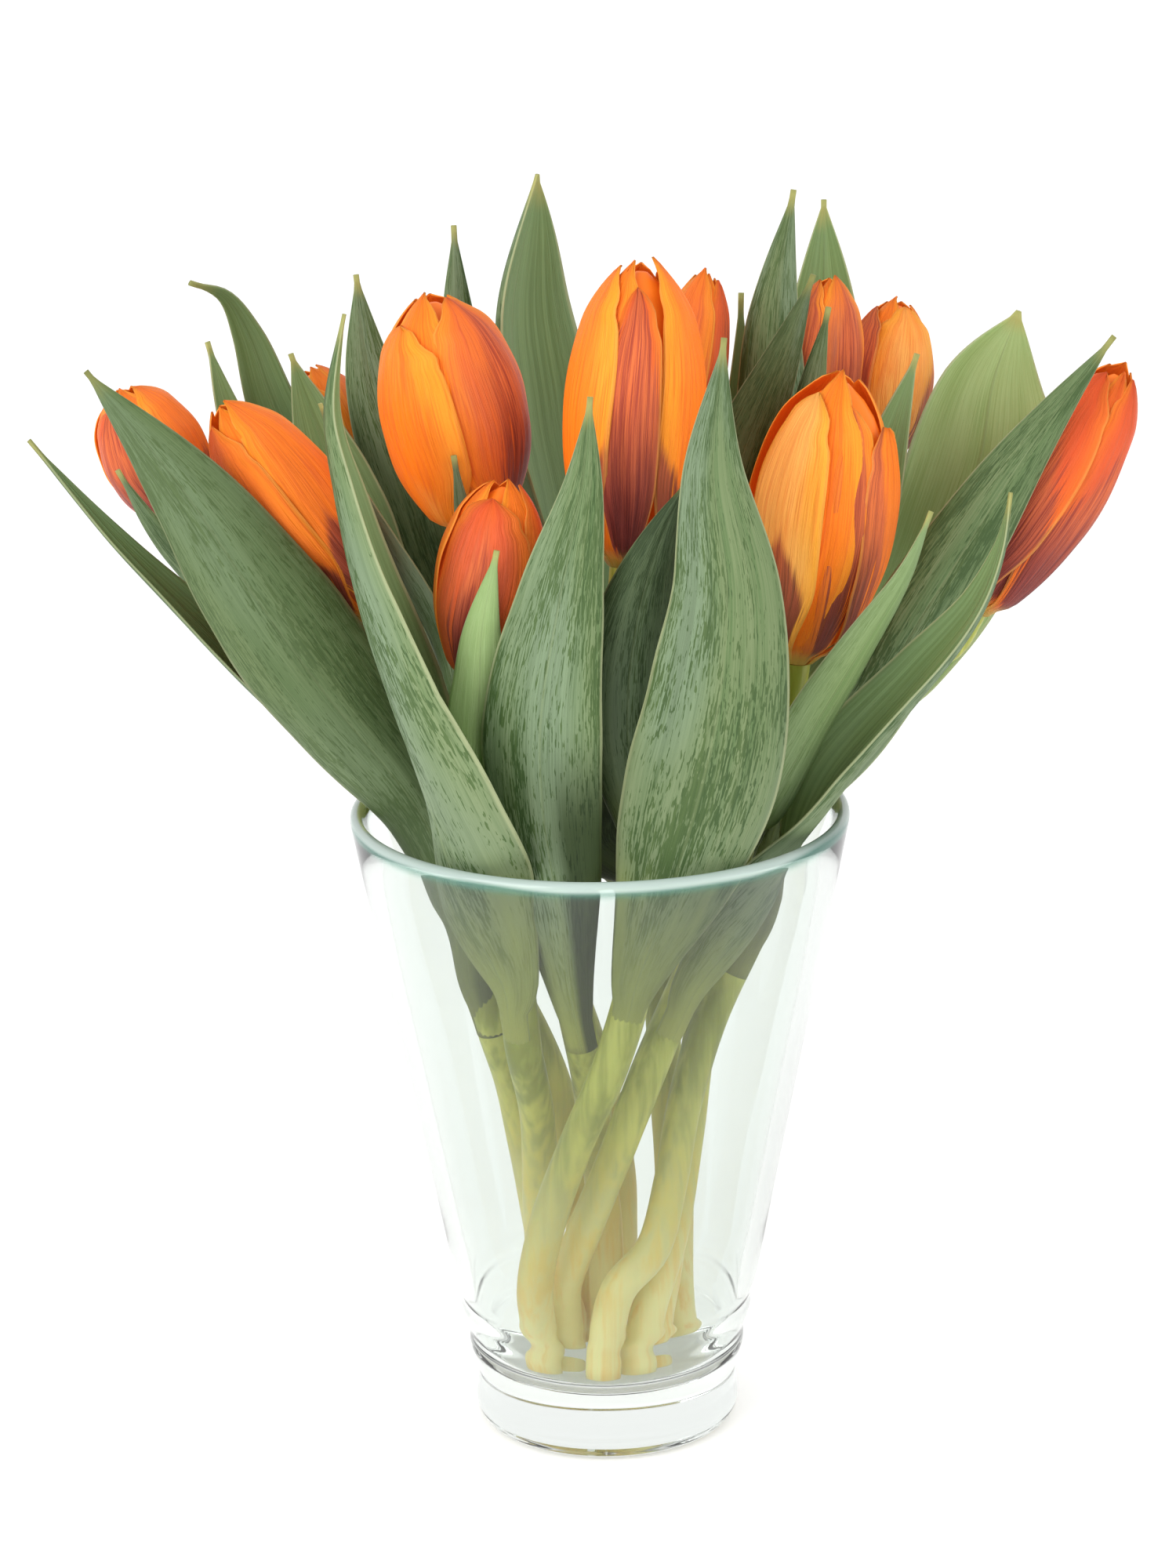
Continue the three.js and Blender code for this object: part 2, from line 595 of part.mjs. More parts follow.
// One rule per pair of crossing stretches: the one in front stays in front by the clearance.
function layeringRules(strands, cells) {
  const meetings = new Map();
  cells.forEach((cell, key) => {
    const ids = [...cell.keys()].sort((a, b) => a - b);
    const row = Math.round(key / 1000);
    ids.forEach((a, i) => ids.slice(i + 1).forEach((b) => {
      const [aHeld, bHeld] = [cell.get(a), cell.get(b)];
      if (!separable(strands[a >> 1], strands[b >> 1], aHeld, bHeld)) return;
      const pair = a * 1000 + b;
      if (!meetings.has(pair)) meetings.set(pair, []);
      meetings.get(pair).push({ a, b, row, aHeld, bHeld });
    }));
  });
  const rules = [];
  meetings.forEach((list) => {
    list.sort((p, q) => p.row - q.row);
    let group = [];
    const close = () => {
      let lead = 0;
      group.forEach(({ aHeld, bHeld }) => {
        lead += bHeld.near + bHeld.far - aHeld.near - aHeld.far;
      });
      const strongest = new Map();
      group.forEach(({ a, b, aHeld, bHeld }) => {
        const [front, back, ahead, behind] = lead > 0 ? [a, b, aHeld, bHeld] : [b, a, bHeld, aHeld];
        const need = ahead.far - behind.near + CLEARANCE;
        const rule = { front, frontT: ahead.farT, back, backT: behind.nearT, need };
        const key = `${Math.round(rule.frontT * 40)}:${Math.round(rule.backT * 40)}`;
        if (!strongest.has(key) || strongest.get(key).need < rule.need) strongest.set(key, rule);
      });
      rules.push(...strongest.values());
      group = [];
    };
    list.forEach((meeting) => {
      if (group.length && meeting.row - group[group.length - 1].row > 2) close();
      group.push(meeting);
    });
    close();
  });
  return rules;
}

// How far each ring may shift without touching the vase's wall.
function wallLimits(strand) {
  const low = new Float64Array(strand.rings + 1).fill(-Infinity);
  const high = new Float64Array(strand.rings + 1).fill(Infinity);
  strand.samples.forEach(({ t, point }) => {
    if (point.z > VASE_HEIGHT + 1) return;
    const fillet = point.z < FLOOR_THICKNESS + FLOOR_FILLET ? FLOOR_FILLET : 0;
    const reach = innerRadius(point.z) - fillet - 2 * GAP;
    const room = Math.sqrt(Math.max(0, reach ** 2 - point.x ** 2));
    const ring = Math.floor(t * strand.rings);
    [ring, Math.min(strand.rings, ring + 1)].forEach((k) => {
      low[k] = Math.max(low[k], -room - point.y);
      high[k] = Math.min(high[k], room - point.y);
    });
  });
  return { low, high };
}

// A sheath goes where its stem goes, and carries part of its own push over to the stem.
function tieSheath(strand, carried) {
  const { leaf, owner } = strand;
  for (let i = 0; i / strand.rings < sheathFraction(strand); i += 1) {
    const t = leaf.start + ((i / strand.rings) * leaf.length) / leaf.stem.length;
    pushStrand(owner, t, (strand.shift[i] - strandShift(owner, t)) * carried);
    strand.shift[i] = strandShift(owner, t);
  }
}

function evenOut({ shift, rings, leaf }) {
  const before = shift.slice();
  for (let i = 0; i <= rings; i += 1) {
    const lower = before[Math.max(0, i - 1)];
    const upper = before[Math.min(rings, i + 1)];
    shift[i] += STIFFNESS * (lower - 2 * before[i] + upper);
  }
  if (!leaf) shift.fill((shift[rings] + shift[rings - 1]) / 2, rings - 1);
}

function keepInVase({ shift, rings }, { low, high }) {
  for (let i = 0; i <= rings; i += 1) {
    if (low[i] > high[i]) shift[i] = (low[i] + high[i]) / 2;
    else shift[i] = Math.min(high[i], Math.max(low[i], shift[i]));
  }
}

function relax(strands) {
  const rules = layeringRules(strands, frontView(strands));
  const limits = strands.map(wallLimits);
  const leafStrandsOnly = strands.filter((strand) => strand.leaf);
  for (let round = 0; round < ROUNDS; round += 1) {
    rules.forEach((rule) => {
      const [front, back] = [strands[rule.front >> 1], strands[rule.back >> 1]];
      const miss = rule.need + strandShift(front, rule.frontT) - strandShift(back, rule.backT);
      if (miss <= 0) return;
      pushStrand(front, rule.frontT, -miss * PUSH);
      pushStrand(back, rule.backT, miss * PUSH);
    });
    strands.forEach(evenOut);
    leafStrandsOnly.forEach((strand) => tieSheath(strand, 0.4));
    strands.forEach((strand, id) => keepInVase(strand, limits[id]));
  }
  leafStrandsOnly.forEach((strand) => tieSheath(strand, 0));
}

// ---- Vase ---------------------------------------------------------------------------------------
// Thick clear glass: a heavy rippled base, a tapered wall and a rounded lip.

function vaseGeometry() {
  const points = [[0, 0], [FOOT_FLAT_RADIUS, 0], [FOOT_FLAT_RADIUS + 2.8, 1.2], [HEEL_RADIUS, 4]];
  RIPPLE_HEIGHTS.forEach((z) => {
    points.push([outerRadius(z - 3), z - 3]);
    points.push([outerRadius(z) - RIPPLE_DEPTH, z]);
  });
  [60, 115, VASE_HEIGHT - 3].forEach((z) => points.push([outerRadius(z), z]));
  points.push([RIM_RADIUS - 1, VASE_HEIGHT - 0.6]);
  points.push([RIM_RADIUS - WALL / 2, VASE_HEIGHT]);
  points.push([RIM_RADIUS - WALL + 1, VASE_HEIGHT - 0.6]);
  [VASE_HEIGHT - 3, 115, 60, 30].forEach((z) => points.push([innerRadius(z), z]));
  points.push([innerRadius(FLOOR_THICKNESS) - 0.4, FLOOR_THICKNESS + FLOOR_FILLET - 0.5]);
  points.push([innerRadius(FLOOR_THICKNESS) - 1.4, FLOOR_THICKNESS + 1.2]);
  points.push([innerRadius(FLOOR_THICKNESS) - FLOOR_FILLET, FLOOR_THICKNESS]);
  points.push([0, FLOOR_THICKNESS]);
  const profile = points.map(([r, z]) => new THREE.Vector2(r, z));
  return new THREE.LatheGeometry(profile, VASE_SIDES).rotateX(Math.PI / 2);
}

// ---- The bouquet --------------------------------------------------------------------------------

const COLOURS = { glass: 0xe6f0ec, leaf: 0x7fa07f, bloom: 0xf08a2a };

function material(kind) {
  const settings = { color: COLOURS[kind], roughness: 0.5, metalness: 0 };
  if (kind === 'glass') Object.assign(settings, { roughness: 0.03, transparent: true, opacity: 0.25 });
  return new THREE.MeshStandardMaterial(settings);
}

const group = new THREE.Group();

function addMesh(name, geometry, kind) {
  const mesh = new THREE.Mesh(geometry, material(kind));
  mesh.name = name;
  group.add(mesh);
}

const tulipName = (number) => `tulip_${String(number).padStart(2, '0')}`;
const stems = FLOWERS.map(makeStem);
const leaves = LEAVES.map((leaf) => makeLeaf(leaf, stems[leaf.flower - 1]));
const stemStrands = FLOWERS.map((flower, i) => stemStrandOf(flower, stems[i]));
const leafStrands = leaves.map((leaf) => {
  const strand = leafStrandOf(leaf);
  strand.owner = stemStrands[leaf.flower - 1];
  return strand;
});
relax(stemStrands.concat(leafStrands));

addMesh('vase', vaseGeometry(), 'glass');
FLOWERS.forEach((flower, i) => {
  const strand = stemStrands[i];
  const solids = leafStrands.filter(({ owner }) => owner === strand)
    .map((leafStrand) => leafSolid(leafStrand.leaf, (t) => strandShift(leafStrand, t)));
  solids.push(stemSolid(stems[i], (t) => strandShift(strand, t)));
  addMesh(`${tulipName(i + 1)}_leafy_stem`, fuse(solids), 'leaf');
  addMesh(`${tulipName(i + 1)}_bloom`, bloomGeometry(flower, stems[i], strand.shift[STEM_RINGS]), 'bloom');
});

export default group;
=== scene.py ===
import math
import random

import bpy
import numpy as np
from mathutils import Matrix


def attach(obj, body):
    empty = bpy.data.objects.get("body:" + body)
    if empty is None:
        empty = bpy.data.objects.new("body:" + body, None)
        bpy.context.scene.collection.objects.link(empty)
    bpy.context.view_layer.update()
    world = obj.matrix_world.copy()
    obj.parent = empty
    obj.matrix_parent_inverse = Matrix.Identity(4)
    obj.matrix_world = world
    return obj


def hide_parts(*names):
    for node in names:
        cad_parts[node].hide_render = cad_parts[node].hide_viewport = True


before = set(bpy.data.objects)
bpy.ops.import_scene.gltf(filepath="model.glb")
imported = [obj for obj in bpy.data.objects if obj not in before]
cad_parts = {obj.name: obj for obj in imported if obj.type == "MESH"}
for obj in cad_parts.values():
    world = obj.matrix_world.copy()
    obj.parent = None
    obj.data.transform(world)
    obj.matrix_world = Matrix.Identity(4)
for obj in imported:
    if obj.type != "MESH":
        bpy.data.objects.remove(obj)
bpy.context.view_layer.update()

# ---- Camera ----
# About a metre in front of the bouquet and a hand's length above its top, looking down by 17 degrees
# and tilted by a little under one degree. The whole picture is 1500 by 2000 pixels.
CAMERA_PLACE = (0.0, -1.05, 0.5031)
PITCH, YAW, ROLL = (math.radians(a) for a in (17.324, -0.1617, -0.8))
FOCAL_PIXELS = 5440
PICTURE_HEIGHT = 2000
SENSOR_SIZE = 36
NEAREST_SEEN = 0.05
show = bpy.context.scene.collection.objects.link


def axes_at(x, y, z, place):
    """The matrix of an object that stands at a place, turned to three axes."""
    return Matrix([(x[i], y[i], z[i], place[i]) for i in range(3)] + [(0, 0, 0, 1)])


right = np.array([math.cos(YAW), -math.sin(YAW), 0.0])
ahead = np.array([math.sin(YAW) * math.cos(PITCH), math.cos(YAW) * math.cos(PITCH), -math.sin(PITCH)])
above = np.cross(right, ahead)
camera_x = right * math.cos(ROLL) + above * math.sin(ROLL)
camera_y = above * math.cos(ROLL) - right * math.sin(ROLL)
camera = bpy.data.objects.new("camera", bpy.data.cameras.new("camera"))
camera.data.sensor_width = SENSOR_SIZE
camera.data.lens = FOCAL_PIXELS * SENSOR_SIZE / PICTURE_HEIGHT
camera.data.clip_start = NEAREST_SEEN
camera.matrix_world = axes_at(camera_x, camera_y, -ahead, CAMERA_PLACE)
show(camera)
bpy.context.scene.camera = camera

# ---- Vase ----
# A tapered vase of clear, thick glass, pressed in one piece: a heavy base with shallow ripple rings,
# a rounded heel, and a fire-polished lip that looks sea green where the light runs along the glass.
# The lip carries an opaque layer with a painted highlight along its top and painted shade at its ends.
MM = 0.001
VASE_HEIGHT = 170
RIM_RADIUS = 65
WALL = 4.4
WALL_SLOPE = 0.19
BASE_THICKNESS = 18
FOOT_RADIUS = 31.0
HEEL = [(33.9, 1.1), (35.1, 3.8)]
RIPPLE_LEVELS = (14, 25, 35)
RIPPLE_RISE = 4
RIPPLE_DEPTH = 0.75
LIP_HEIGHT = 3.2
LIP_SHOULDER = 169
LIP_ROUNDING = 0.7
PROFILE_PIECES = 6
VASE_TURNS = 180
GLASS = (0.86, 0.895, 0.87, 1)
RIM_GREEN = (0.80, 0.92, 0.86, 1)
# The lip layer's colours: a dark green for its painted shade and a pale one for its painted highlight.
LIP_SHADED_GREEN = (0.09, 0.26, 0.20, 1)
LIP_PAINTED_HIGHLIGHT = (0.72, 0.86, 0.80, 1)
# The heights in metres over which the glass turns green, over which the lip's opaque layer of painted
# light and shade sets in and over which its painted highlight sets in, and the distances to the side
# over which the painted shade at the lip's ends begins.
GREEN_LEVELS = (0.1635, 0.1675)
PAINTED_LIP_LEVELS = (0.1652, 0.1680)
HIGHLIGHT_LEVELS = (0.1662, 0.1696)
LIP_SHADED_ENDS = (0.035, 0.062)
# The places of the Mix node's colour sockets, whose names it uses for other sockets too.
FIRST_COLOUR, SECOND_COLOUR, MIXED_COLOUR = 6, 7, 2


class Wire:
    """A value in a material. Arithmetic on it adds Math nodes; node() adds any other node."""

    def __init__(self, tree, socket=None):
        self.tree, self.socket = tree, socket

    def node(self, kind, inputs=None, output=0, **settings):
        made = self.tree.nodes.new("ShaderNode" + kind)
        for name, value in settings.items():
            setattr(made, name, value)
        for key, value in (inputs or {}).items():
            if isinstance(value, Wire):
                self.tree.links.new(value.socket, made.inputs[key])
            else:
                made.inputs[key].default_value = value
        return Wire(self.tree, made.outputs[output])

    def math(self, operation, *terms):
        return self.node("Math", dict(enumerate(terms)), operation=operation)

    def step(self, low, high):
        """Smooth step from 0 at low to 1 at high."""
        ends = {"Value": self, "From Min": low, "From Max": high}
        return self.node("MapRange", ends, interpolation_type="SMOOTHSTEP")

    def blend(self, first, second):
        """Colour that goes from first to second as this value goes from 0 to 1."""
        inputs = {"Factor": self, FIRST_COLOUR: first, SECOND_COLOUR: second}
        return self.node("Mix", inputs, MIXED_COLOUR, data_type="RGBA")

    def shade(self, colour):
        """This colour multiplied by another one."""
        inputs = {"Factor": 1.0, FIRST_COLOUR: self, SECOND_COLOUR: colour}
        return self.node("Mix", inputs, MIXED_COLOUR, data_type="RGBA", blend_type="MULTIPLY")

    def part(self, axis):
        """One coordinate of this vector."""
        return self.node("SeparateXYZ", {"Vector": self}, axis)

    def noise(self, scale, detail):
        """Noise at the places that this vector gives."""
        return self.node("TexNoise", {"Vector": self, "Scale": scale, "Detail": detail})

    def bump(self, strength, depth):
        """Normals of a surface that this value raises."""
        return self.node("Bump", {"Strength": strength, "Distance": depth, "Height": self})

    def __add__(self, other):
        return self.math("ADD", self, other)

    def __sub__(self, other):
        return self.math("SUBTRACT", self, other)

    def __rsub__(self, other):
        return self.math("SUBTRACT", other, self)

    def __mul__(self, other):
        return self.math("MULTIPLY", self, other)

    def __truediv__(self, other):
        return self.math("DIVIDE", self, other)

    def __abs__(self):
        return self.math("ABSOLUTE", self)

    __radd__ = __add__


def new_material(name, **constants):
    """A Principled material with its constants set, and a Wire to build its pattern with."""
    made = bpy.data.materials.new(name)
    made.use_nodes = True
    shader = made.node_tree.nodes["Principled BSDF"]
    for key, value in constants.items():
        shader.inputs[key.replace("_", " ")].default_value = value
    return made, shader, Wire(made.node_tree)


def drive(shader, wires):
    """Links each named input of a shader to its wire."""
    for name, wire in wires.items():
        wire.tree.links.new(wire.socket, shader.inputs[name])


def piece(name, points, faces, material, maps=None, fields=None):
    """A mesh piece from its points in millimetres. maps are UV maps and fields are attributes."""
    mesh = bpy.data.meshes.new(name)
    mesh.from_pydata((np.asarray(points) * MM).tolist(), [], faces)
    for label, values in (maps or {}).items():
        layer = mesh.uv_layers.new(name=label)
        corners = np.array([loop.vertex_index for loop in mesh.loops])
        layer.data.foreach_set("uv", np.asarray(values, dtype=np.float32)[corners].ravel())
    for label, values in (fields or {}).items():
        layer = mesh.attributes.new(label, "FLOAT", "POINT")
        layer.data.foreach_set("value", np.asarray(values, dtype=np.float32))
    mesh.polygons.foreach_set("use_smooth", [True] * len(mesh.polygons))
    mesh.materials.append(material)
    made = bpy.data.objects.new(name, mesh)
    show(made)
    return made


def unit(v):
    return v / np.maximum(1e-12, np.linalg.norm(v, axis=-1, keepdims=True))


def outer_radius(z):
    return RIM_RADIUS - (VASE_HEIGHT - z) * WALL_SLOPE


def through(points, pieces):
    """A smooth line through flat points, cut into a number of pieces between each two."""
    points = np.array(points, dtype=float)
    out = []
    for i in range(len(points) - 1):
        before = points[max(0, i - 1)]
        after = points[min(len(points) - 1, i + 2)]
        start, end = points[i], points[i + 1]
        reach = np.linalg.norm(end - start)
        pull_in, pull_out = unit(end - before) * reach, unit(after - start) * reach
        for k in range(pieces):
            t = k / pieces
            hermite = (2 * t**3 - 3 * t**2 + 1, t**3 - 2 * t**2 + t, 3 * t**2 - 2 * t**3, t**3 - t**2)
            out.append(hermite[0] * start + hermite[1] * pull_in + hermite[2] * end + hermite[3] * pull_out)
    return np.array(out + [points[-1]])


def turned_faces(rings, sides, first, low_end, high_end):
    """Faces of a closed round body: rings of points from first on, and a point at either end."""
    last = first + (rings - 1) * sides
    faces = []
    for j in range(sides):
        k = (j + 1) % sides
        faces.append((low_end, first + k, first + j))
        for ring_start in range(first, last, sides):
            a, b = ring_start + j, ring_start + k
            faces.append((a, b, b + sides, a + sides))
        faces.append((last + j, last + k, high_end))
    return faces


outside = list(HEEL)
for level in RIPPLE_LEVELS:
    below = level - RIPPLE_RISE
    outside += [(outer_radius(below), below), (outer_radius(level) - RIPPLE_DEPTH, level)]
outside += [(outer_radius(z), z) for z in (40, 60, 115, VASE_HEIGHT - LIP_HEIGHT)]
lip = [
    (RIM_RADIUS - LIP_ROUNDING, LIP_SHOULDER), (RIM_RADIUS - WALL / 2, VASE_HEIGHT),
    (RIM_RADIUS - WALL + LIP_ROUNDING, LIP_SHOULDER),
]
inner_floor = outer_radius(BASE_THICKNESS) - WALL
inside = [(outer_radius(z) - WALL, z) for z in (VASE_HEIGHT - LIP_HEIGHT, 115, 60, 30, 22.5)]
inside += [(inner_floor - 1.2, 19.3), (inner_floor - 4, BASE_THICKNESS)]
profile = np.vstack([[(FOOT_RADIUS, 0.0)], through(outside + lip + inside, PROFILE_PIECES)])
turns = np.linspace(0, 2 * math.pi, VASE_TURNS, endpoint=False)
ring = np.stack([np.cos(turns), np.sin(turns)], axis=1)
vase_points = [(0, 0, 0)]
for radius, z in profile:
    vase_points += [(radius * c, radius * s, z) for c, s in ring]
vase_points.append((0, 0, BASE_THICKNESS))
vase_faces = turned_faces(len(profile), VASE_TURNS, 1, 0, len(vase_points) - 1)

glass, shader, wire = new_material("clear glass", Roughness=0.012, IOR=1.42, Transmission_Weight=1.0)
place = wire.node("TexCoord", output="Object")
height = place.part("Z")
cast = place.noise(22.0, 1.0)
tint = height.step(*GREEN_LEVELS)
drive(shader, {"Base Color": tint.blend(GLASS, RIM_GREEN), "Normal": cast.bump(0.035, 0.002)})
# The lip's opaque layer is painted light: a painted highlight along its top, streaked by the noise, and
# painted shade at its left and right ends, where the ends mask sets in.
ends = abs(place.part("X")).step(*LIP_SHADED_ENDS)
painted_highlight = (height.step(*HIGHLIGHT_LEVELS) + (cast - 0.5) * 1.8 - ends * 0.35).step(0.2, 0.8)
lip_painted_light = wire.node("BsdfPrincipled", {"Base Color": painted_highlight.blend(LIP_SHADED_GREEN, LIP_PAINTED_HIGHLIGHT), "Roughness": 0.05})
painted_light_share = height.step(*PAINTED_LIP_LEVELS) * 0.55
clear = Wire(wire.tree, shader.outputs["BSDF"])
blended = wire.node("MixShader", {0: painted_light_share, 1: clear, 2: lip_painted_light})
wire.tree.links.new(blended.socket, wire.tree.nodes["Material Output"].inputs["Surface"])
vase = piece("glass_vase", vase_points, vase_faces, glass)
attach(vase, "root")
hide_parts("vase")

# ---- Stems ----
# Eleven round, juicy stems, cut straight across and standing on the glass floor. They are olive
# green above and bleached to cream at the foot, where they have stood deep in the vase.
STEM_RADIUS = 4.6
NECK_RADIUS = 3.9
FOOT_LEVEL = BASE_THICKNESS + 0.3
FOOT_RUN = 5
FOOT_BEVEL = 0.5
NECK_RUN = 10
NECK_SINK = 1.2
CAD_STEM_RINGS = 12
CAD_STEM_SIDES = 6
MATCH_GAP = 0.03
MATCH_SPREAD = 0.02
SHIFT_PLACES = 401
SHIFT_WINDOW = 25
SIDES_ROUND_STEM = 20
POINTS_ALONG_STEM = 90
STEM_GREEN = (0.58, 0.60, 0.13, 1)
STEM_OLIVE = (0.27, 0.30, 0.035, 1)
STEM_CREAM = (1.0, 0.90, 0.42, 1)
STEM_TAN = (0.96, 0.68, 0.22, 1)
# Each row is the stem's route from foot to neck, the bloom's tip, its widest radius and its turn.
FLOWERS = (
    (((-10, 9, 0), (-15, 10, 35), (-21, 10, 74), (-24, 6, 95), (-28, -1, 114), (-34, -3, 139),
     (-42, -2, 164), (-51, -1, 202), (-57, 0, 223)), (-93, -9, 280), 14, 20),
    (((-16, 0, 0), (-17, -1, 54), (-17, -7, 92), (-20, -15, 119), (-22, -19, 144), (-27, -17, 171),
     (-30, -12, 194), (-31, -15, 213)), (-22, -17, 265), 13.2, 50),
    (((-16, -15, 0), (-18, -23, 45), (-15, -27, 65), (-7, -28, 91), (2, -29, 115), (9, -28, 142),
     (11, -24, 170), (9, -19, 206), (7, -13, 239)), (12, -13, 317), 17.3, 10),
    (((-10, -10, 0), (-11, -11, 40), (-6, -11, 57), (1, -11, 77), (10, -12, 102), (19, -12, 123),
     (30, -12, 147), (39, -10, 170), (50, -16, 209)), (62, -21, 286), 18.8, 35),
    (((-1, -23, 0), (3, -22, 44), (12, -20, 55), (17, -15, 72), (21, -9, 92), (28, -4, 114),
     (38, -1, 135), (49, 2, 159), (60, 5, 181), (78, 8, 200), (97, 12, 215)), (135, 10, 280), 14.3, 0),
    (((0, 0, 0), (0, 3, 52), (-2, 0, 80), (-4, -8, 107), (-7, -13, 127), (-10, -11, 147),
     (-17, -2, 176), (-24, 8, 207), (-30, 15, 242)), (-41, 15, 304), 18.7, 30),
    (((12, -5, 0), (16, 1, 39), (18, 7, 59), (17, 13, 88), (15, 15, 127), (15, 15, 162), (14, 13, 205),
     (16, 13, 247)), (29, 17, 306), 10, 5),
    (((8, -16, 0), (11, -13, 34), (17, -8, 52), (22, 1, 79), (26, 6, 106), (34, 11, 135), (40, 14, 166),
     (49, 18, 212), (56, 28, 253)), (61, 30, 301), 10.5, 40),
    (((20, 8, 0), (20, 15, 37), (21, 20, 65), (26, 24, 93), (36, 23, 126), (47, 22, 159), (61, 32, 208),
     (73, 43, 246)), (80, 49, 291), 12.2, 15),
    (((-3, 0, 0), (-6, 6, 41), (-9, 10, 67), (-15, 12, 93), (-25, 12, 116), (-37, 10, 138),
     (-52, 7, 168), (-83, 5, 211), (-104, 5, 244)), (-120, 3, 279), 13.5, 25),
    (((8, 17, 0), (5, 23, 29), (4, 30, 56), (-1, 34, 82), (-8, 37, 104), (-16, 40, 123), (-30, 43, 160),
     (-49, 51, 202), (-64, 53, 238)), (-75, 55, 274), 12, 55),
)


def smooth(t):
    t = np.clip(t, 0, 1)
    return t * t * (3 - 2 * t)


class Route:
    """A smooth line through points, read by the share of its length."""

    STEPS = 200

    def __init__(self, points):
        points = np.array(points, dtype=float)
        self.count = len(points)
        first, last = 2 * points[0] - points[1], 2 * points[-1] - points[-2]
        self.points = np.vstack([[first], points, [last]])
        along = self.raw(np.arange(self.STEPS + 1) / self.STEPS)
        lengths = np.concatenate([[0], np.cumsum(np.linalg.norm(np.diff(along, axis=0), axis=1))])
        self.length = lengths[-1]
        self.shares = lengths / self.length

    def raw(self, t):
        place = np.asarray(t, dtype=float) * (self.count - 1)
        i = np.clip(np.floor(place).astype(int), 0, self.count - 2)
        w = (place - i)[:, None]
        a, b, c, d = (self.points[i + k] for k in range(4))
        ab, bc, cd = (np.sum((q - p) ** 2, axis=1)[:, None] ** 0.25 for p, q in ((a, b), (b, c), (c, d)))
        start = ((b - a) / ab - (c - a) / (ab + bc) + (c - b) / bc) * bc
        end = ((c - b) / bc - (d - b) / (bc + cd) + (d - c) / cd) * bc
        return b + start * w + (3 * (c - b) - 2 * start - end) * w**2 + (2 * (b - c) + start + end) * w**3

    def parameter(self, share):
        return np.interp(share, self.shares, np.arange(self.STEPS + 1) / self.STEPS)

    def at(self, share):
        return self.raw(self.parameter(np.atleast_1d(share)))

    def heading(self, share):
        t = self.parameter(np.atleast_1d(share))
        return unit(self.raw(np.clip(t + 1e-4, 0, 1)) - self.raw(np.clip(t - 1e-4, 0, 1)))


def cad_points(node):
    """The corners of a CAD node, in millimetres."""
    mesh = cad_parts[node].data
    out = np.empty(len(mesh.vertices) * 3, dtype=np.float32)
    mesh.vertices.foreach_get("co", out)
    return np.unique(np.round(out.reshape(-1, 3) / MM, 3), axis=0)


def depth_shifts(corners, rings):
    """How far each ring of a stem or leaf stands in front of or behind its drawn line in the CAD."""
    found = []
    for ring_points in rings:
        gaps = np.abs(corners[None, :, [0, 2]] - ring_points[:, None, [0, 2]]).max(axis=2)
        which, corner = np.nonzero(gaps < MATCH_GAP)
        shifts = corners[corner, 1] - ring_points[which, 1]
        votes = [np.sum(np.abs(shifts - s) < MATCH_SPREAD) for s in shifts]
        found.append(shifts[int(np.argmax(votes))] if votes and max(votes) > 1 else np.nan)
    found = np.array(found)
    known = ~np.isnan(found)
    places = np.arange(len(found))
    return np.interp(places, places[known], found[known])


def shift_along(shifts, share):
    """The shift at any share of the length, with the corners between rings rounded."""
    fine = np.linspace(0, 1, SHIFT_PLACES)
    values = np.interp(fine, np.linspace(0, 1, len(shifts)), shifts)
    window = np.hanning(SHIFT_WINDOW)
    padded = np.pad(values, SHIFT_WINDOW // 2, mode="edge")
    return np.interp(share, fine, np.convolve(padded, window / window.sum(), mode="valid"))


def stem_widths(shares):
    return STEM_RADIUS + (NECK_RADIUS - STEM_RADIUS) * smooth((shares - 0.5) / 0.5)


stems = []
for number, (line, tip, radius, turn) in enumerate(FLOWERS, 1):
    line = [np.array(p, dtype=float) for p in line]
    line[0][2] = FOOT_LEVEL
    neck = line[-1]
    axis = unit(np.array(tip, dtype=float) - neck)
    route = Route([line[0], line[0] + (0, 0, FOOT_RUN)] + line[1:-1] + [neck - NECK_RUN * axis, neck])
    shares = np.arange(CAD_STEM_RINGS + 1) / CAD_STEM_RINGS
    centres, headings = route.at(shares), route.heading(shares)
    headings[0] = (0, 0, 1)
    across = unit(np.cross(headings, (0, -1, 0)))
    away = np.cross(headings, across)
    widths = stem_widths(shares)
    angles = 2 * np.pi * np.arange(CAD_STEM_SIDES) / CAD_STEM_SIDES
    rings = [
        centres[k] + widths[k] * (np.outer(np.cos(angles), across[k]) + np.outer(np.sin(angles), away[k]))
        for k in range(CAD_STEM_RINGS + 1)
    ]
    corners = cad_points(f"tulip_{number:02d}_leafy_stem")
    stems.append(
        {
            "route": route, "axis": axis, "neck": neck, "corners": corners,
            "shifts": depth_shifts(corners, rings), "height": np.linalg.norm(np.array(tip) - neck),
            "radius": radius, "turn": turn,
        }
    )

stem_skin, shader, wire = new_material(
    "stem skin", Roughness=0.42, Subsurface_Weight=0.12, Subsurface_Scale=0.004, Specular_IOR_Level=0.4
)
place = wire.node("TexCoord", output="Object")
streaks = wire.node("Mapping", {"Vector": place, "Scale": (420, 420, 14)}).noise(1.0, 3.0)
blotches = place.noise(38.0, 2.0)
bleached = (place.part("Z") + blotches * 0.03 - 0.015).step(0.018, 0.115)
greens = (blotches * 0.6 + streaks * 0.4).step(0.38, 0.62)
pale = (blotches * 0.5 + streaks * 0.5).step(0.42, 0.62).blend(STEM_CREAM, STEM_TAN)
skin = bleached.blend(pale, greens.blend(STEM_OLIVE, STEM_GREEN))
streaky = (streaks * 0.5 + 0.75).blend((0.72, 0.70, 0.6, 1), (1.06, 1.06, 1.06, 1))
drive(shader, {"Base Color": skin.shade(streaky), "Normal": streaks.bump(0.25, 0.0004)})

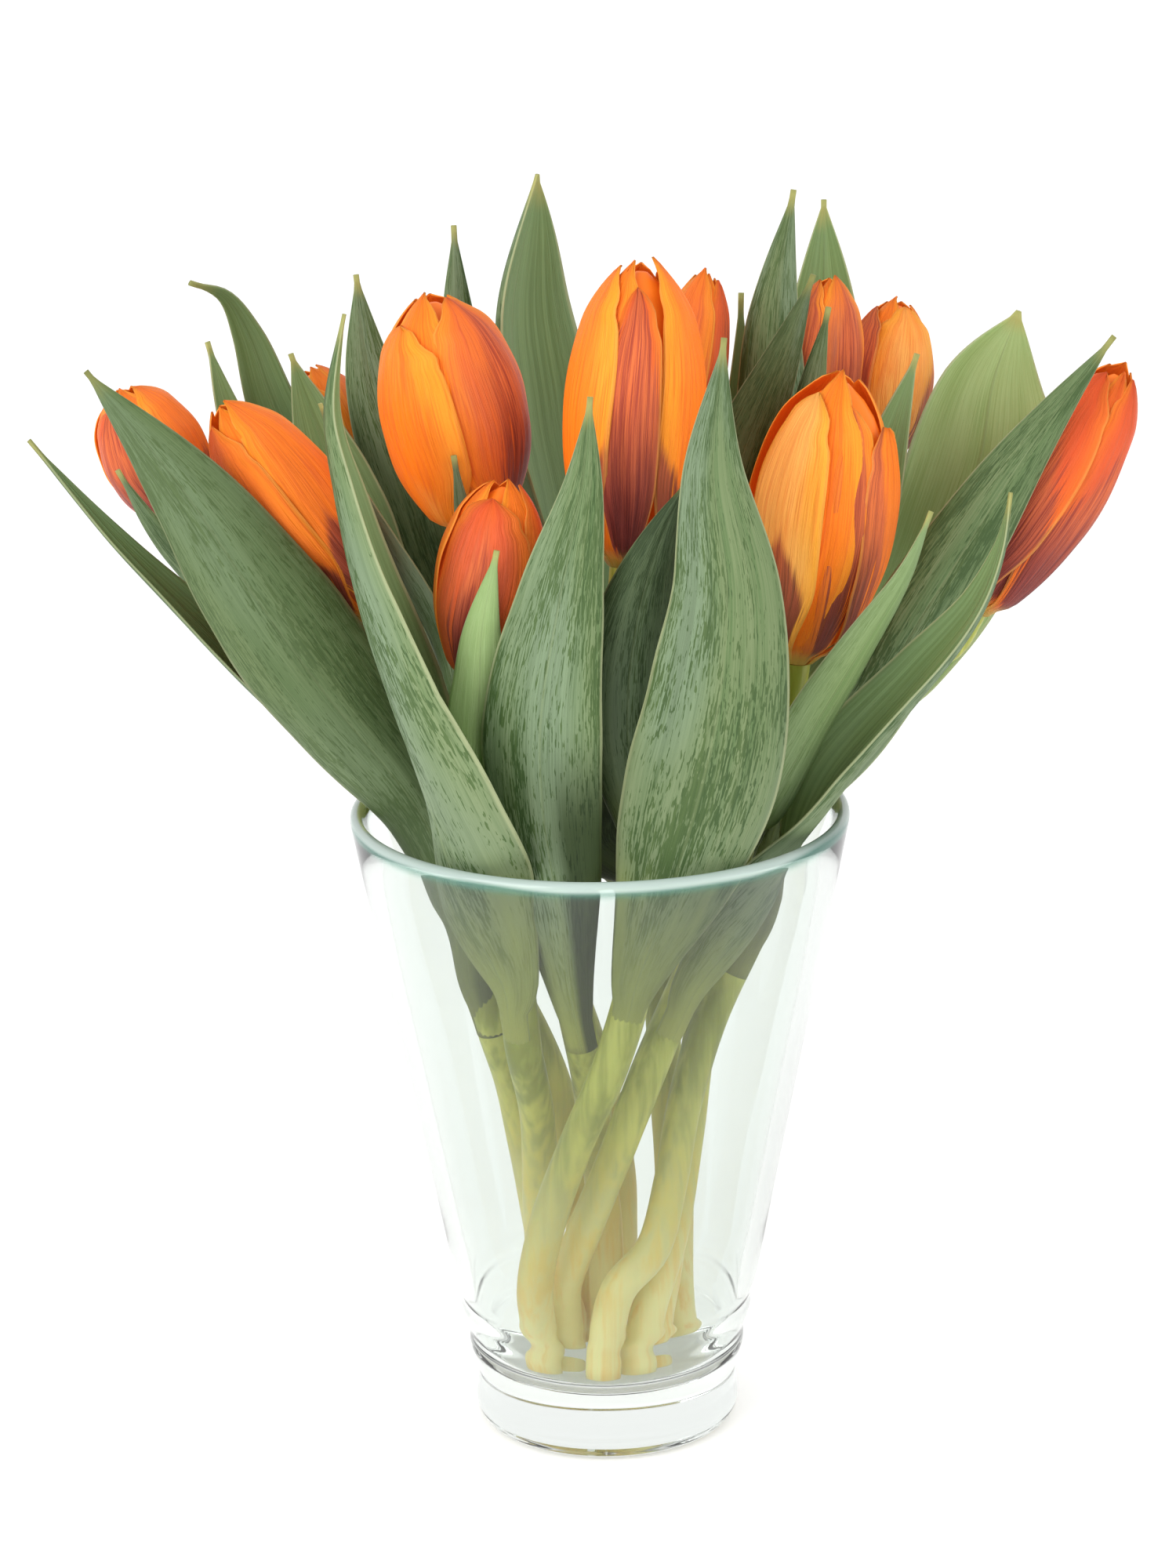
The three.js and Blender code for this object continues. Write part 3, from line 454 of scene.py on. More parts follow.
sweep = bpy.data.node_groups.new("stem sweep", "GeometryNodeTree")
sweep.interface.new_socket("Geometry", in_out="INPUT", socket_type="NodeSocketGeometry")
sides_socket = sweep.interface.new_socket("Sides", in_out="INPUT", socket_type="NodeSocketInt")
skin_socket = sweep.interface.new_socket("Skin", in_out="INPUT", socket_type="NodeSocketMaterial")
sweep.interface.new_socket("Geometry", in_out="OUTPUT", socket_type="NodeSocketGeometry")
inlet, outlet = (sweep.nodes.new(kind) for kind in ("NodeGroupInput", "NodeGroupOutput"))
circle, width_of_point, tube, soften, realize, paint = (
    sweep.nodes.new("GeometryNode" + kind)
    for kind in (
        "CurvePrimitiveCircle", "InputRadius", "CurveToMesh", "SetShadeSmooth", "RealizeInstances",
        "SetMaterial",
    )
)
circle.inputs["Radius"].default_value = 1.0
tube.inputs["Fill Caps"].default_value = True
for source, target in (
    (inlet.outputs["Sides"], circle.inputs["Resolution"]),
    (inlet.outputs["Geometry"], tube.inputs["Curve"]),
    (circle.outputs["Curve"], tube.inputs["Profile Curve"]),
    (width_of_point.outputs["Radius"], tube.inputs["Scale"]),
    (tube.outputs["Mesh"], soften.inputs["Geometry"]),
    (soften.outputs["Geometry"], realize.inputs["Geometry"]),
    (realize.outputs["Geometry"], paint.inputs["Geometry"]),
    (inlet.outputs["Skin"], paint.inputs["Material"]),
    (paint.outputs["Geometry"], outlet.inputs["Geometry"]),
):
    sweep.links.new(source, target)

for number, stem in enumerate(stems, 1):
    shares = np.linspace(0, 1, POINTS_ALONG_STEM)
    centres = stem["route"].at(shares)
    centres[:, 1] += shift_along(stem["shifts"], shares)
    centres[-1] += stem["axis"] * NECK_SINK
    widths = stem_widths(shares) * (1 + 0.02 * np.sin(shares * 23 + number)) - 0.05
    widths[0] -= FOOT_BEVEL
    centres[1] = centres[0] + (0, 0, FOOT_BEVEL)
    path = bpy.data.curves.new(f"stem_path_{number:02d}", "CURVE")
    path.dimensions = "3D"
    spline = path.splines.new("POLY")
    spline.points.add(POINTS_ALONG_STEM - 1)
    for point, centre, width in zip(spline.points, centres, widths):
        point.co = (*(centre * MM), 1)
        point.radius = width * MM
    holder = bpy.data.objects.new(f"stem_path_{number:02d}", path)
    show(holder)
    modifier = holder.modifiers.new("sweep", "NODES")
    modifier.node_group = sweep
    modifier[sides_socket.identifier] = SIDES_ROUND_STEM
    modifier[skin_socket.identifier] = stem_skin
    bpy.context.view_layer.update()
    swept = holder.evaluated_get(bpy.context.evaluated_depsgraph_get())
    name = f"tulip_{number:02d}_stem"
    made = bpy.data.objects.new(name, bpy.data.meshes.new_from_object(swept))
    made.data.name = name
    bpy.data.objects.remove(holder)
    bpy.data.curves.remove(path)
    show(made)
    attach(made, "root")
    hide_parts(f"tulip_{number:02d}_leafy_stem")

# ---- Leaves ----
# Broad blades with parallel veins that clasp the stem. The outer side has a grey-green waxy bloom,
# rubbed off in streaks, and the inner side is smoother and paler. Their margins are thin and pale.
LEAF_THICKNESS = 1.0
CAD_LEAF_COLUMNS = 4
CAD_RING_SPACING = 21
TIP_HALF_WIDTH = 0.7
SHEATH_HALF_ANGLE = 1.05
SHEATH_RADIUS = STEM_RADIUS - 0.1
SHEATH_LENGTH = 16
OPENING_SHARE = 0.3
BLADE_COLUMNS = 18
BLADE_ROW_LENGTH = 2.2
MIDRIB_DEPTH = 0.45
FULL_TURN = 6.28
# Each row is the tulip, the clasp's height, half the width, where it is widest, how late it tapers,
# where the outer side looks (at the clasp, half way and at the tip), its cup, and the keel's route.
LEAVES = (
    (1, 114, 18, 0.6, 1.6, (25, 0, 0), (0.45, 0.3),
     ((-35, -11, 148), (-44, -10, 171), (-64, -15, 202), (-82, -23, 232), (-101, -24, 263),
      (-124, -18, 291))),
    (2, 120, 27, 0.4, 1.6, (30, 88, 95), (1.15, 0.8),
     ((-35, -25, 161), (-43, -29, 189), (-51, -26, 213), (-58, -24, 237), (-63, -22, 264),
      (-65, -18, 283), (-60, -14, 306))),
    (2, 162, 8, 0.5, 1.6, (0, 0, 0), (0.6, 0.4),
     ((-30, -29, 193), (-29, -33, 215), (-28, -34, 231), (-24, -35, 251))),
    (3, 122, 20, 0.4, 1.6, (0, 0, 0), (0.6, 0.4),
     ((17, -38, 163), (24, -43, 189), (29, -49, 216), (31, -51, 243), (28, -46, 273), (31, -35, 302))),
    (4, 114, 16, 0.48, 1.6, (-25, -96, -108), (1.1, 0.8),
     ((44, -22, 155), (63, -28, 186), (80, -31, 208), (94, -33, 228), (100, -33, 244), (102, -31, 258))),
    (4, 150, 8, 0.5, 1.6, (0, -30, -40), (0.8, 0.5),
     ((40, -25, 172), (54, -32, 201), (67, -35, 224), (76, -36, 240), (82, -34, 255))),
    (5, 126, 12.5, 0.55, 1.6, (-10, 0, 0), (0.5, 0.4),
     ((48, 1, 166), (66, -3, 192), (80, -7, 216), (94, -8, 239), (105, -8, 257), (117, -7, 274),
      (130, -6, 291))),
    (5, 174, 20, 0.62, 2.6, (180, 180, 180), (0.45, 0.3),
     ((78, 26, 199), (91, 29, 225), (100, 33, 249), (104, 35, 272), (110, 33, 290))),
    (6, 116, 15.5, 0.5, 1.6, (0, 8, 0), (0.5, 0.4),
     ((-11, -26, 159), (-14, -33, 184), (-14, -40, 210), (-9, -42, 240), (-3, -40, 268),
      (-1, -34, 288))),
    (3, 156, 13, 0.5, 1.6, (0, -10, -10), (0.6, 0.5),
     ((7, -30, 205), (10, -34, 235), (16, -36, 255), (22, -36, 268))),
    (7, 118, 28, 0.68, 2.4, (100, 108, 118), (0.9, 0.7),
     ((-9, 33, 152), (-11, 44, 184), (-14, 50, 226), (-20, 52, 259), (-22, 52, 289), (-14, 50, 325))),
    (7, 176, 6, 0.55, 1.6, (180, 180, 180), (0.8, 0.5),
     ((25, 22, 186), (31, 25, 227), (37, 29, 264), (38, 30, 297))),
    (7, 168, 9, 0.62, 1.6, (0, 0, 0), (0.5, 0.4),
     ((21, 3, 195), (29, -2, 234), (38, -3, 263), (48, -5, 288), (55, -5, 307))),
    (8, 174, 10, 0.6, 1.6, (0, 0, 0), (0.7, 0.5),
     ((41, 17, 221), (45, 16, 262), (46, 19, 294), (51, 21, 325))),
    (9, 128, 13, 0.66, 2.2, (180, 180, 180), (0.5, 0.4),
     ((42, 35, 168), (52, 49, 203), (59, 59, 244), (61, 62, 281), (61, 60, 315))),
    (8, 206, 6, 0.5, 1.6, (0, 0, 0), (0.6, 0.4),
     ((51, 7, 252), (55, 4, 277), (59, 2, 298))),
    (4, 184, 8, 0.6, 1.6, (180, 180, 180), (0.8, 0.6),
     ((58, 5, 209), (67, 7, 233), (75, 7, 262), (82, 7, 284))),
    (10, 112, 10.5, 0.5, 1.6, (60, 100, 105), (0.9, 0.7),
     ((-48, 0, 156), (-60, -6, 178), (-82, -12, 201), (-101, -17, 224), (-120, -18, 246),
      (-140, -18, 272))),
    (10, 184, 7, 0.5, 1.6, (40, 30, 30), (0.8, 0.5),
     ((-86, -6, 212), (-100, -12, 231), (-110, -18, 246), (-119, -20, 263))),
    (10, 124, 10, 0.6, 1.6, (150, 180, 180), (0.9, 0.4),
     ((-43, 34, 174), (-58, 38, 208), (-74, 38, 242), (-84, 36, 270), (-89, 32, 288), (-94, 26, 299),
      (-102, 18, 304))),
    (10, 196, 6, 0.6, 1.6, (150, 150, 150), (0.7, 0.5),
     ((-86, 20, 247), (-94, 24, 267), (-99, 24, 287))),
    (1, 176, 11, 0.62, 1.6, (180, 180, 180), (0.6, 0.4),
     ((-55, 17, 220), (-67, 23, 250), (-74, 25, 270), (-78, 24, 283))),
    (2, 178, 6, 0.5, 1.6, (90, 60, 60), (0.6, 0.4),
     ((-41, 4, 217), (-54, 10, 240), (-64, 9, 261), (-69, 8, 276))),
    (11, 158, 10, 0.66, 1.6, (-10, 0, 0), (0.6, 0.4),
     ((-34, 37, 191), (-47, 38, 238), (-58, 38, 275), (-61, 38, 302))),
    (11, 176, 8, 0.6, 1.6, (-60, -30, 0), (0.7, 0.5),
     ((-25, 43, 215), (-30, 48, 248), (-35, 50, 283), (-36, 50, 312))),
    (6, 186, 4.5, 0.5, 1.6, (0, 0, 0), (0.7, 0.5),
     ((-27, -3, 219), (-32, -4, 244), (-35, -6, 267))),
    (7, 128, 13, 0.5, 1.6, (0, 0, -10), (0.6, 0.4),
     ((0, 2, 159), (3, -2, 185), (7, -5, 208), (12, -6, 229), (15, -6, 243))),
)
# How yellow a leaf is, how much painted shade it has, how streaked and how folded it is, and how much
# painted shade it has low on its right side, by the place of its row above, which starts at 0.
PLAIN_LEAF = (0, 0, 1, 0, 0)
LEAF_LOOKS = {
    0: (0.22, 0.56, 0.9, 0.28, 0.3), 2: (0.82, 0, 1, 0, 0), 3: (0, 0.12, 1, 0, 0),
    4: (0, 0.1, 1, 0, 0), 5: (0.4, 0, 0.4, 0, 0), 6: (0, 0.15, 1, 0.15, 0),
    7: (0.85, 0, 1, 0, 0), 8: (0, 0, 1, 0, 1), 9: (0, 0.75, 1, 0.1, 0),
    12: (0, 0.4, 1, 0, 0), 17: (0, 0.3, 1, 0, 0), 19: (0, 0.4, 1, 0, 0),
    26: (0, 0.9, 0.5, 0, 0),
}


def facing(heading, degrees):
    """The direction square to a heading that looks to the front, turned by some degrees."""
    angle = np.radians(degrees)
    plan = np.stack([-np.sin(angle), -np.cos(angle), 0 * angle], axis=-1)
    return unit(plan - np.sum(plan * heading, axis=1)[:, None] * heading)


def lerp(a, b, t):
    return a + (b - a) * t


def leaf_points(leaf, along, across):
    """Middle surface, outward normal and half width of a blade over a grid of places."""
    _, _, width, widest, taper, faces, cups, _ = leaf["row"]
    sheath_end = SHEATH_LENGTH / leaf["route"].length
    sheath_width = SHEATH_RADIUS * SHEATH_HALF_ANGLE
    low = np.clip((along - sheath_end * 0.6) / (widest - sheath_end * 0.6), 0, 1)
    rise = 1 - (1 - low) ** 1.8
    fall = np.maximum(0, (along - widest) / (1 - widest))
    spread = np.maximum(0, 1 - fall**taper) ** 1.1
    half = np.where(along < widest, lerp(sheath_width, width, rise), width * spread)
    half = np.maximum(TIP_HALF_WIDTH, half)
    opening = smooth(np.maximum(0, along - sheath_end) / OPENING_SHARE)
    arc = lerp(SHEATH_HALF_ANGLE, lerp(cups[0], cups[1], smooth((along - 0.5) / 0.5)), opening)
    low_turn = lerp(faces[0], faces[1], smooth(np.maximum(0, along - sheath_end) / (0.5 - sheath_end)))
    turn = np.where(along < 0.5, low_turn, lerp(faces[1], faces[2], smooth((along - 0.5) * 2)))
    heading = leaf["route"].heading(along)
    outer = facing(heading, turn)
    side = np.cross(heading, outer)
    radius = (half / arc)[:, None, None]
    angle = (across[None, :] * arc[:, None])[:, :, None]
    middle = leaf["route"].at(along)[:, None, :]
    to_side = side[:, None, :] * radius * np.sin(angle)
    surface = middle + to_side - outer[:, None, :] * radius * (1 - np.cos(angle))
    normal = outer[:, None, :] * np.cos(angle) + side[:, None, :] * np.sin(angle)
    return surface, normal, half


def blade_faces(rows, columns):
    """Faces of a closed blade whose outer points come first and whose inner points follow."""
    width = columns + 1
    back = rows * width
    faces = []
    for i in range(rows - 1):
        for j in range(columns):
            a = i * width + j
            faces.append((a, a + 1, a + 1 + width, a + width))
            faces.append((back + a, back + a + width, back + a + 1 + width, back + a + 1))
        left, right_side = i * width, i * width + columns
        faces.append((left, left + width, back + left + width, back + left))
        faces.append((right_side, back + right_side, back + right_side + width, right_side + width))
    for j in range(columns):
        top = (rows - 1) * width + j
        faces.append((j, back + j, back + j + 1, j + 1))
        faces.append((top, top + 1, back + top + 1, back + top))
    return faces


def closed_blade(surface, normal, thin):
    """The points of a closed blade: its outer side first, then its inner side."""
    return np.vstack([(surface + normal * thin).reshape(-1, 3), (surface - normal * thin).reshape(-1, 3)])


def blade_map(across, along):
    """A UV map of a closed blade: the share of its width, then the share of its length."""
    grid_across, grid_along = np.meshgrid((across + 1) / 2, along)
    return np.tile(np.stack([grid_across.ravel(), grid_along.ravel()], axis=1), (2, 1))


def height_share(route, height):
    """The share of a rising route's length at which it reaches a height."""
    low, high = 0.0, 1.0
    for _ in range(30):
        middle = (low + high) / 2
        if route.at(middle)[0][2] < height:
            low = middle
        else:
            high = middle
    return low


leaf_skin, shader, wire = new_material("leaf skin", Specular_IOR_Level=0.35)
blade_place = wire.node("UVMap", uv_map="blade")
blade, share = blade_place.part("X"), blade_place.part("Y")
off_middle = abs(blade - 0.5) * 2
reach, inner, seed, yellow, painted_shade, streaked = (
    wire.node("Attribute", output="Fac", attribute_name=name)
    for name in ("reach", "inner", "seed", "yellow", "painted_shade", "streaked")
)


def fibres(across_count, along_count, detail, offset):
    """Noise drawn out along the veins."""
    cell = {"X": blade * across_count, "Y": reach * along_count, "Z": seed * 13.7 + offset}
    return wire.node("CombineXYZ", cell).noise(1.0, detail)


veins = fibres(34, 0.8, 2.0, 0.0)
pleats = fibres(9, 0.5, 1.0, 30.4)
hairlines = fibres(120, 4.0, 1.0, 3.1)
patches = fibres(4.0, 2.4, 3.0, 7.7)
scratches = fibres(75, 20.0, 2.0, 9.2)
specks = fibres(95, 60.0, 1.0, 12.3)
hair_streaks = fibres(80, 6.0, 3.0, 21.2)
tone = fibres(1.3, 1.0, 1.0, 15.8).step(0.36, 0.64)

# The outer side: grey-green wax, thicker low down, over a bare skin that shows where it is rubbed.
rubbed = (scratches + patches * 0.8 + specks * 0.25 + streaked * 0.06 - 0.125).step(0.985, 1.04)
brushed = (hair_streaks + patches * 0.5).step(0.74, 0.9)
waxy_dark = tone.blend((0.106, 0.178, 0.06, 1), (0.146, 0.208, 0.116, 1))
waxy_light = tone.blend((0.186, 0.248, 0.11, 1), (0.2, 0.28, 0.162, 1))
waxy = (hairlines * 0.35 + veins * 0.3 + pleats * 0.35).step(0.38, 0.62).blend(waxy_dark, waxy_light)
low_wax = (1 - (share + patches * 0.1).step(0.25, 0.6)) * 0.35
waxy = low_wax.blend(waxy, (0.26, 0.31, 0.19, 1))
bare_lines = (hairlines * 0.4 + veins * 0.3 + pleats * 0.3).step(0.38, 0.62)
bare = bare_lines.blend((0.038, 0.082, 0.018, 1), (0.075, 0.13, 0.034, 1))
outer_side = (brushed * 0.42).blend(waxy, bare)
outer_side = (rubbed * 0.92).blend(outer_side, bare)

# The inner side, and the fresh yellow-green of young leaves.
inner_lines = (veins * 0.7 + hairlines * 0.3).step(0.35, 0.68)
inner_side = inner_lines.blend((0.145, 0.24, 0.08, 1), (0.22, 0.345, 0.138, 1))
inner_side = ((patches - 0.1).step(0.3, 0.6) * 0.5).blend(inner_side, (0.2, 0.315, 0.145, 1))
fresh_lines = (hairlines * 0.5 + patches * 0.5).step(0.3, 0.7)
fresh = fresh_lines.blend((0.28, 0.43, 0.13, 1), (0.44, 0.6, 0.25, 1))

# On both: the pale base and clasp, which bleach low in the vase as the stems do, then the midrib,
# the pale margin and the dry tip.
place = wire.node("TexCoord", output="Object")
height = place.part("Z")
base_skin = height.step(0.06, 0.14).blend((0.6, 0.56, 0.17, 1), (0.37, 0.4, 0.085, 1))
midrib = 1 - off_middle.step(0.0, 0.035)
leaf_colour = inner.blend(outer_side, inner_side)
for amount, colour in (
    (yellow * 0.9, fresh),
    ((1 - (share + patches * 0.2 - 0.1).step(0.0, 0.3)) * 0.85, base_skin),
    (1 - (share + hairlines * 0.02).step(0.02, 0.09), base_skin),
    (midrib * 0.35, (0.24, 0.3, 0.14, 1)),
    ((off_middle + hairlines * 0.02).step(0.955, 0.99) * 0.7, (0.42, 0.46, 0.25, 1)),
    ((share + patches * 0.03).step(0.965, 1.01) * 0.8, (0.42, 0.4, 0.12, 1)),
):
    leaf_colour = amount.blend(leaf_colour, colour)

# Painted shade: on leaves that stand behind others, low on the right side of some, and where the bunch
# is packed close above the rim.
leaf_colour = painted_shade.blend(leaf_colour, leaf_colour.shade((0.2, 0.24, 0.14, 1)))
# A box of painted shade round the middle of the bunch, from just in front of its middle to behind it and
# from below the rim to well above it.
depth = place.part("Y")
packed_shade = (1 - abs(place.part("X")).step(0.035, 0.07)) * depth.step(-0.022, -0.008)
packed_shade = packed_shade * (1 - depth.step(0.035, 0.055)) * height.step(0.1, 0.15) * (1 - height.step(0.21, 0.26))
leaf_colour = (packed_shade * 0.7).blend(leaf_colour, leaf_colour.shade((0.22, 0.25, 0.14, 1)))
relief = pleats * 1.3 + veins * 0.55 + hairlines * 0.35 - midrib * 0.5 - rubbed * 0.15
roughness = 0.5 + hairlines * 0.2 - inner * 0.08
drive(shader, {"Base Color": leaf_colour, "Roughness": roughness, "Normal": relief.bump(0.4, 0.0006)})

leaf_counts = {}
for index, row in enumerate(LEAVES):
    tulip, clasp, width, _, _, faces, _, line = row
    yellowness, painted_shade_share, streakiness, folding, side_shade = LEAF_LOOKS.get(index, PLAIN_LEAF)
    stem = stems[tulip - 1]
    start = height_share(stem["route"], clasp)
    sheath = []
    for distance in (0, SHEATH_LENGTH / 2, SHEATH_LENGTH):
        share_up = start + distance / stem["route"].length
        heading = stem["route"].heading(share_up)
        outer = facing(heading, np.array([float(faces[0])]))[0]
        sheath.append(stem["route"].at(share_up)[0] + outer * (SHEATH_RADIUS + 0.03 * distance))
    leaf = {"row": row, "route": Route(sheath + list(line))}
    length = leaf["route"].length
    ring_count = int(min(10, max(5, math.floor(length / CAD_RING_SPACING + 0.5))))
    surface, normal, _ = leaf_points(
        leaf, np.arange(ring_count + 1) / ring_count, np.linspace(-1, 1, CAD_LEAF_COLUMNS + 1)
    )
    offset = normal * LEAF_THICKNESS / 2
    rings = [np.vstack([(surface + offset)[k], (surface - offset)[k]]) for k in range(ring_count + 1)]
    shifts = depth_shifts(stem["corners"], rings)

    rng = random.Random(index + 5)
    rows = int(length / BLADE_ROW_LENGTH) + 2
    along = np.linspace(0, 1, rows) ** 0.97
    across = np.linspace(-1, 1, BLADE_COLUMNS + 1)
    surface, normal, half = leaf_points(leaf, along, across)
    surface[:, :, 1] += shift_along(shifts, along)[:, None]
    half = half[:, None]
    waves = sum(
        np.sin(np.pi * along * k + rng.uniform(0, FULL_TURN))[:, None] * rng.uniform(0.4, 1)
        * np.where(across < 0, 1.0, rng.uniform(-1, 1))[None, :]
        for k in (3, 5, 8, 13)
    )
    lift = (smooth((along - 0.15) / 0.2) * smooth((1 - along) / 0.12))[:, None]
    edge = np.abs(across)[None, :] ** 2.2
    ripple = 0.022 * np.minimum(half, 16) * waves * edge * lift
    fold = -folding * half * (np.sqrt(across**2 + 0.01) - 0.5)[None, :]
    midrib_line = np.exp(-((across / 0.07) ** 2))[None, :] * (width > 9)
    keel = (fold - MIDRIB_DEPTH * midrib_line) * lift
    surface = surface + normal * (ripple + keel)[:, :, None]
    thin = (LEAF_THICKNESS / 2) * (1 - 0.6 * np.abs(across) ** 5)[None, :, None]
    thin = thin * (0.12 + 0.88 * smooth(along * length / 14))[:, None, None]
    uv = blade_map(across, along)
    count = len(uv)
    # Painted shade low on a leaf's right side, fading out up the blade.
    low_right = smooth((uv[:, 0] - 0.52) / 0.16) * (1 - smooth((uv[:, 1] - 0.36) / 0.2))
    fields = {
        "reach": uv[:, 1] * length / 100,
        "inner": np.repeat([0.0, 1.0], count // 2),
        "seed": np.full(count, rng.uniform(0, 1)),
        "yellow": np.full(count, yellowness),
        "painted_shade": painted_shade_share + side_shade * low_right,
        "streaked": np.full(count, streakiness),
    }
    leaf_counts[tulip] = leaf_counts.get(tulip, 0) + 1
    made = piece(
        f"tulip_{tulip:02d}_leaf_{leaf_counts[tulip]}", closed_blade(surface, normal, thin),
        blade_faces(rows, BLADE_COLUMNS), leaf_skin, {"blade": uv}, fields,
    )
    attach(made, "root")
    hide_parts(f"tulip_{tulip:02d}_leafy_stem")

# ---- Blooms ----
# Eleven closed blooms of six petals: three outer ones wrap three inner ones and a closed bud. They
# are orange, with feathered plum flames up the outer petals and a mauve, waxy bloom low down.
PETAL_ROWS = 40
PETAL_COLUMNS = 20
PETAL_THICKNESS = 0.55
OUTER_PETALS = 3
INNER_LAYER = 0.89
PETAL_FOOT_RADIUS = 4.1
PETAL_FOOT = 0.015
HEART_RINGS = 16
HEART_SIDES = 30
HEART_LOW, HEART_HIGH = 0.25, 0.955
HEART_ENDS = (0.24, 0.958)
HEART_SHARE = 0.78
PETAL_FIELDS = ("plume", "rise", "lean", "red", "mauve")
# The bud lies in the petals' shade, so it is coloured as their inner side is, with no flame.
HEART_LOOKS = {"inside": 0.7, "seed": 0.5, "plume": 0.0, "rise": 0.5, "lean": 0.0, "red": 0.5, "mauve": 0.0}
# A petal is its direction round the bloom (270 looks to the front), its half width in radians, how
# far up it reaches, then its plum flame (how broad, how high, how far to the side), redness, mauve.
PETAL_LOOKS = {
    1: ((222, 1.1, 0.95, 0.5, 0.55, 0.5, 0.85, 0.1), (325, 1.05, 1, 0.6, 0.6, -0.3, 0.6, 0.2),
        (98, 1.15, 0.97, 0.4, 0.55, 0, 0.5, 0.3), (275, 0.9, 0.99, 0.2, 0.45, 0, 0.5, 0.1),
        (165, 0.9, 0.98, 0.2, 0.45, 0, 0.5, 0.1), (40, 0.9, 0.96, 0.2, 0.45, 0, 0.5, 0.1)),
    2: ((250, 1.15, 0.92, 0.42, 1.1, 0.1, 1, 0.6), (12, 1.05, 0.97, 0.45, 0.8, -0.5, 0.9, 0.3),
        (132, 1.1, 0.96, 0.4, 0.6, 0, 0.8, 0.4), (305, 0.85, 1, 0.1, 0.4, 0, 0.6, 0),
        (70, 0.9, 0.98, 0.15, 0.45, 0, 0.6, 0.1), (190, 0.9, 0.98, 0.15, 0.45, 0, 0.6, 0.1)),
    3: ((192, 1, 0.97, 0.6, 0.6, 1, 0.45, 0), (350, 1, 1, 0.6, 0.6, -1, 0.45, 0),
        (266, 0.48, 0.92, 1, 1.5, 0, 0.95, 0.45), (90, 1.1, 0.97, 0.4, 0.6, 0, 0.5, 0.2),
        (30, 0.9, 0.96, 0.2, 0.5, 0, 0.5, 0.1), (225, 0.9, 0.99, 0.3, 0.5, 0, 0.5, 0.1)),
    4: ((227, 0.74, 0.93, 0.6, 0.66, 0.25, 0.05, 0.1), (341, 0.64, 0.84, 0.45, 1.6, -0.8, 0.5, 0.2),
        (100, 1.2, 0.97, 0.4, 0.6, 0, 0.5, 0.2), (285, 0.66, 0.91, 0.42, 1.5, 0.3, 0.5, 0.3),
        (255, 0.8, 1, 0.15, 0.45, 0, 0.45, 0), (35, 0.9, 0.96, 0.2, 0.5, 0, 0.45, 0.1)),
    5: ((228, 0.95, 0.95, 0.85, 0.95, 0.2, 1.15, 0.3), (322, 0.9, 0.97, 0.9, 0.95, 0, 1, 0.4),
        (80, 1.2, 1, 0.4, 0.5, 0, 0.8, 0.3), (277, 0.7, 0.98, 0.45, 0.6, 0, 0.8, 0.3),
        (20, 0.85, 0.98, 0.2, 0.5, 0, 0.7, 0.1), (150, 0.9, 0.97, 0.2, 0.5, 0, 0.7, 0.1)),
    6: ((218, 1.02, 0.9, 0.1, 0.3, 0, 0.35, 0), (322, 0.98, 0.97, 0.42, 1.45, 0.2, 0.75, 0.6),
        (92, 1.15, 0.97, 0.4, 0.6, 0, 0.5, 0.2), (238, 0.95, 1, 0.1, 0.4, 0, 0.5, 0),
        (150, 0.9, 0.97, 0.2, 0.5, 0, 0.5, 0.1), (35, 0.9, 0.96, 0.2, 0.5, 0, 0.5, 0.1)),
    7: ((245, 1, 1, 0.25, 0.9, 0.9, 0.65, 0.5), (335, 0.9, 0.96, 0.8, 1.1, 0, 0.95, 0.6),
        (90, 1.2, 0.97, 0.4, 0.6, 0, 0.6, 0.2), (285, 0.8, 0.98, 0.2, 0.5, 0, 0.6, 0.1),
        (30, 0.9, 0.96, 0.2, 0.5, 0, 0.6, 0.1), (170, 0.9, 0.96, 0.2, 0.5, 0, 0.6, 0.1)),
    8: ((212, 0.95, 0.97, 1, 1.25, 0.4, 0.7, 0.8), (305, 1, 1, 0.6, 1.3, 0.2, 0.6, 1),
        (90, 1.15, 0.97, 0.4, 0.6, 0, 0.5, 0.2), (262, 0.8, 0.98, 0.3, 0.5, 0, 0.6, 0.2),
        (30, 0.9, 0.96, 0.2, 0.5, 0, 0.5, 0.1), (150, 0.9, 0.96, 0.2, 0.5, 0, 0.5, 0.1)),
    9: ((200, 0.85, 0.93, 1.1, 1.5, 0.5, 0.8, 0.9), (290, 1, 0.95, 0.55, 1, 1, 0.15, 0.1),
        (70, 1.15, 0.97, 0.4, 0.6, 0, 0.5, 0.2), (235, 0.8, 1, 0.1, 0.4, 0, 0.45, 0),
        (10, 0.9, 0.96, 0.6, 0.9, 0, 0.7, 0.3), (140, 0.9, 0.96, 0.2, 0.5, 0, 0.5, 0.1)),
    10: ((236, 1.05, 0.92, 1, 1.6, 0.35, 0.9, 0.2), (345, 1, 0.97, 0.4, 0.6, 0, 0.6, 0.2),
         (110, 1.1, 0.97, 0.4, 0.6, 0, 0.6, 0.2), (285, 0.85, 1, 0.2, 0.5, 0, 0.6, 0.1),
         (50, 0.9, 0.96, 0.2, 0.5, 0, 0.6, 0.1), (175, 0.9, 0.98, 0.2, 0.5, 0, 0.6, 0.1)),
    11: ((240, 1.05, 0.94, 0.6, 0.7, 0.5, 0.6, 0.4), (0, 1.05, 1, 0.9, 0.85, -0.3, 0.75, 0.8),
         (120, 1.05, 0.97, 0.5, 0.6, 0, 0.5, 0.3), (300, 0.9, 1, 0.2, 0.5, 0, 0.5, 0.1),
         (60, 0.9, 0.96, 0.2, 0.5, 0, 0.5, 0.1), (180, 0.9, 0.98, 0.2, 0.5, 0, 0.5, 0.1)),
}

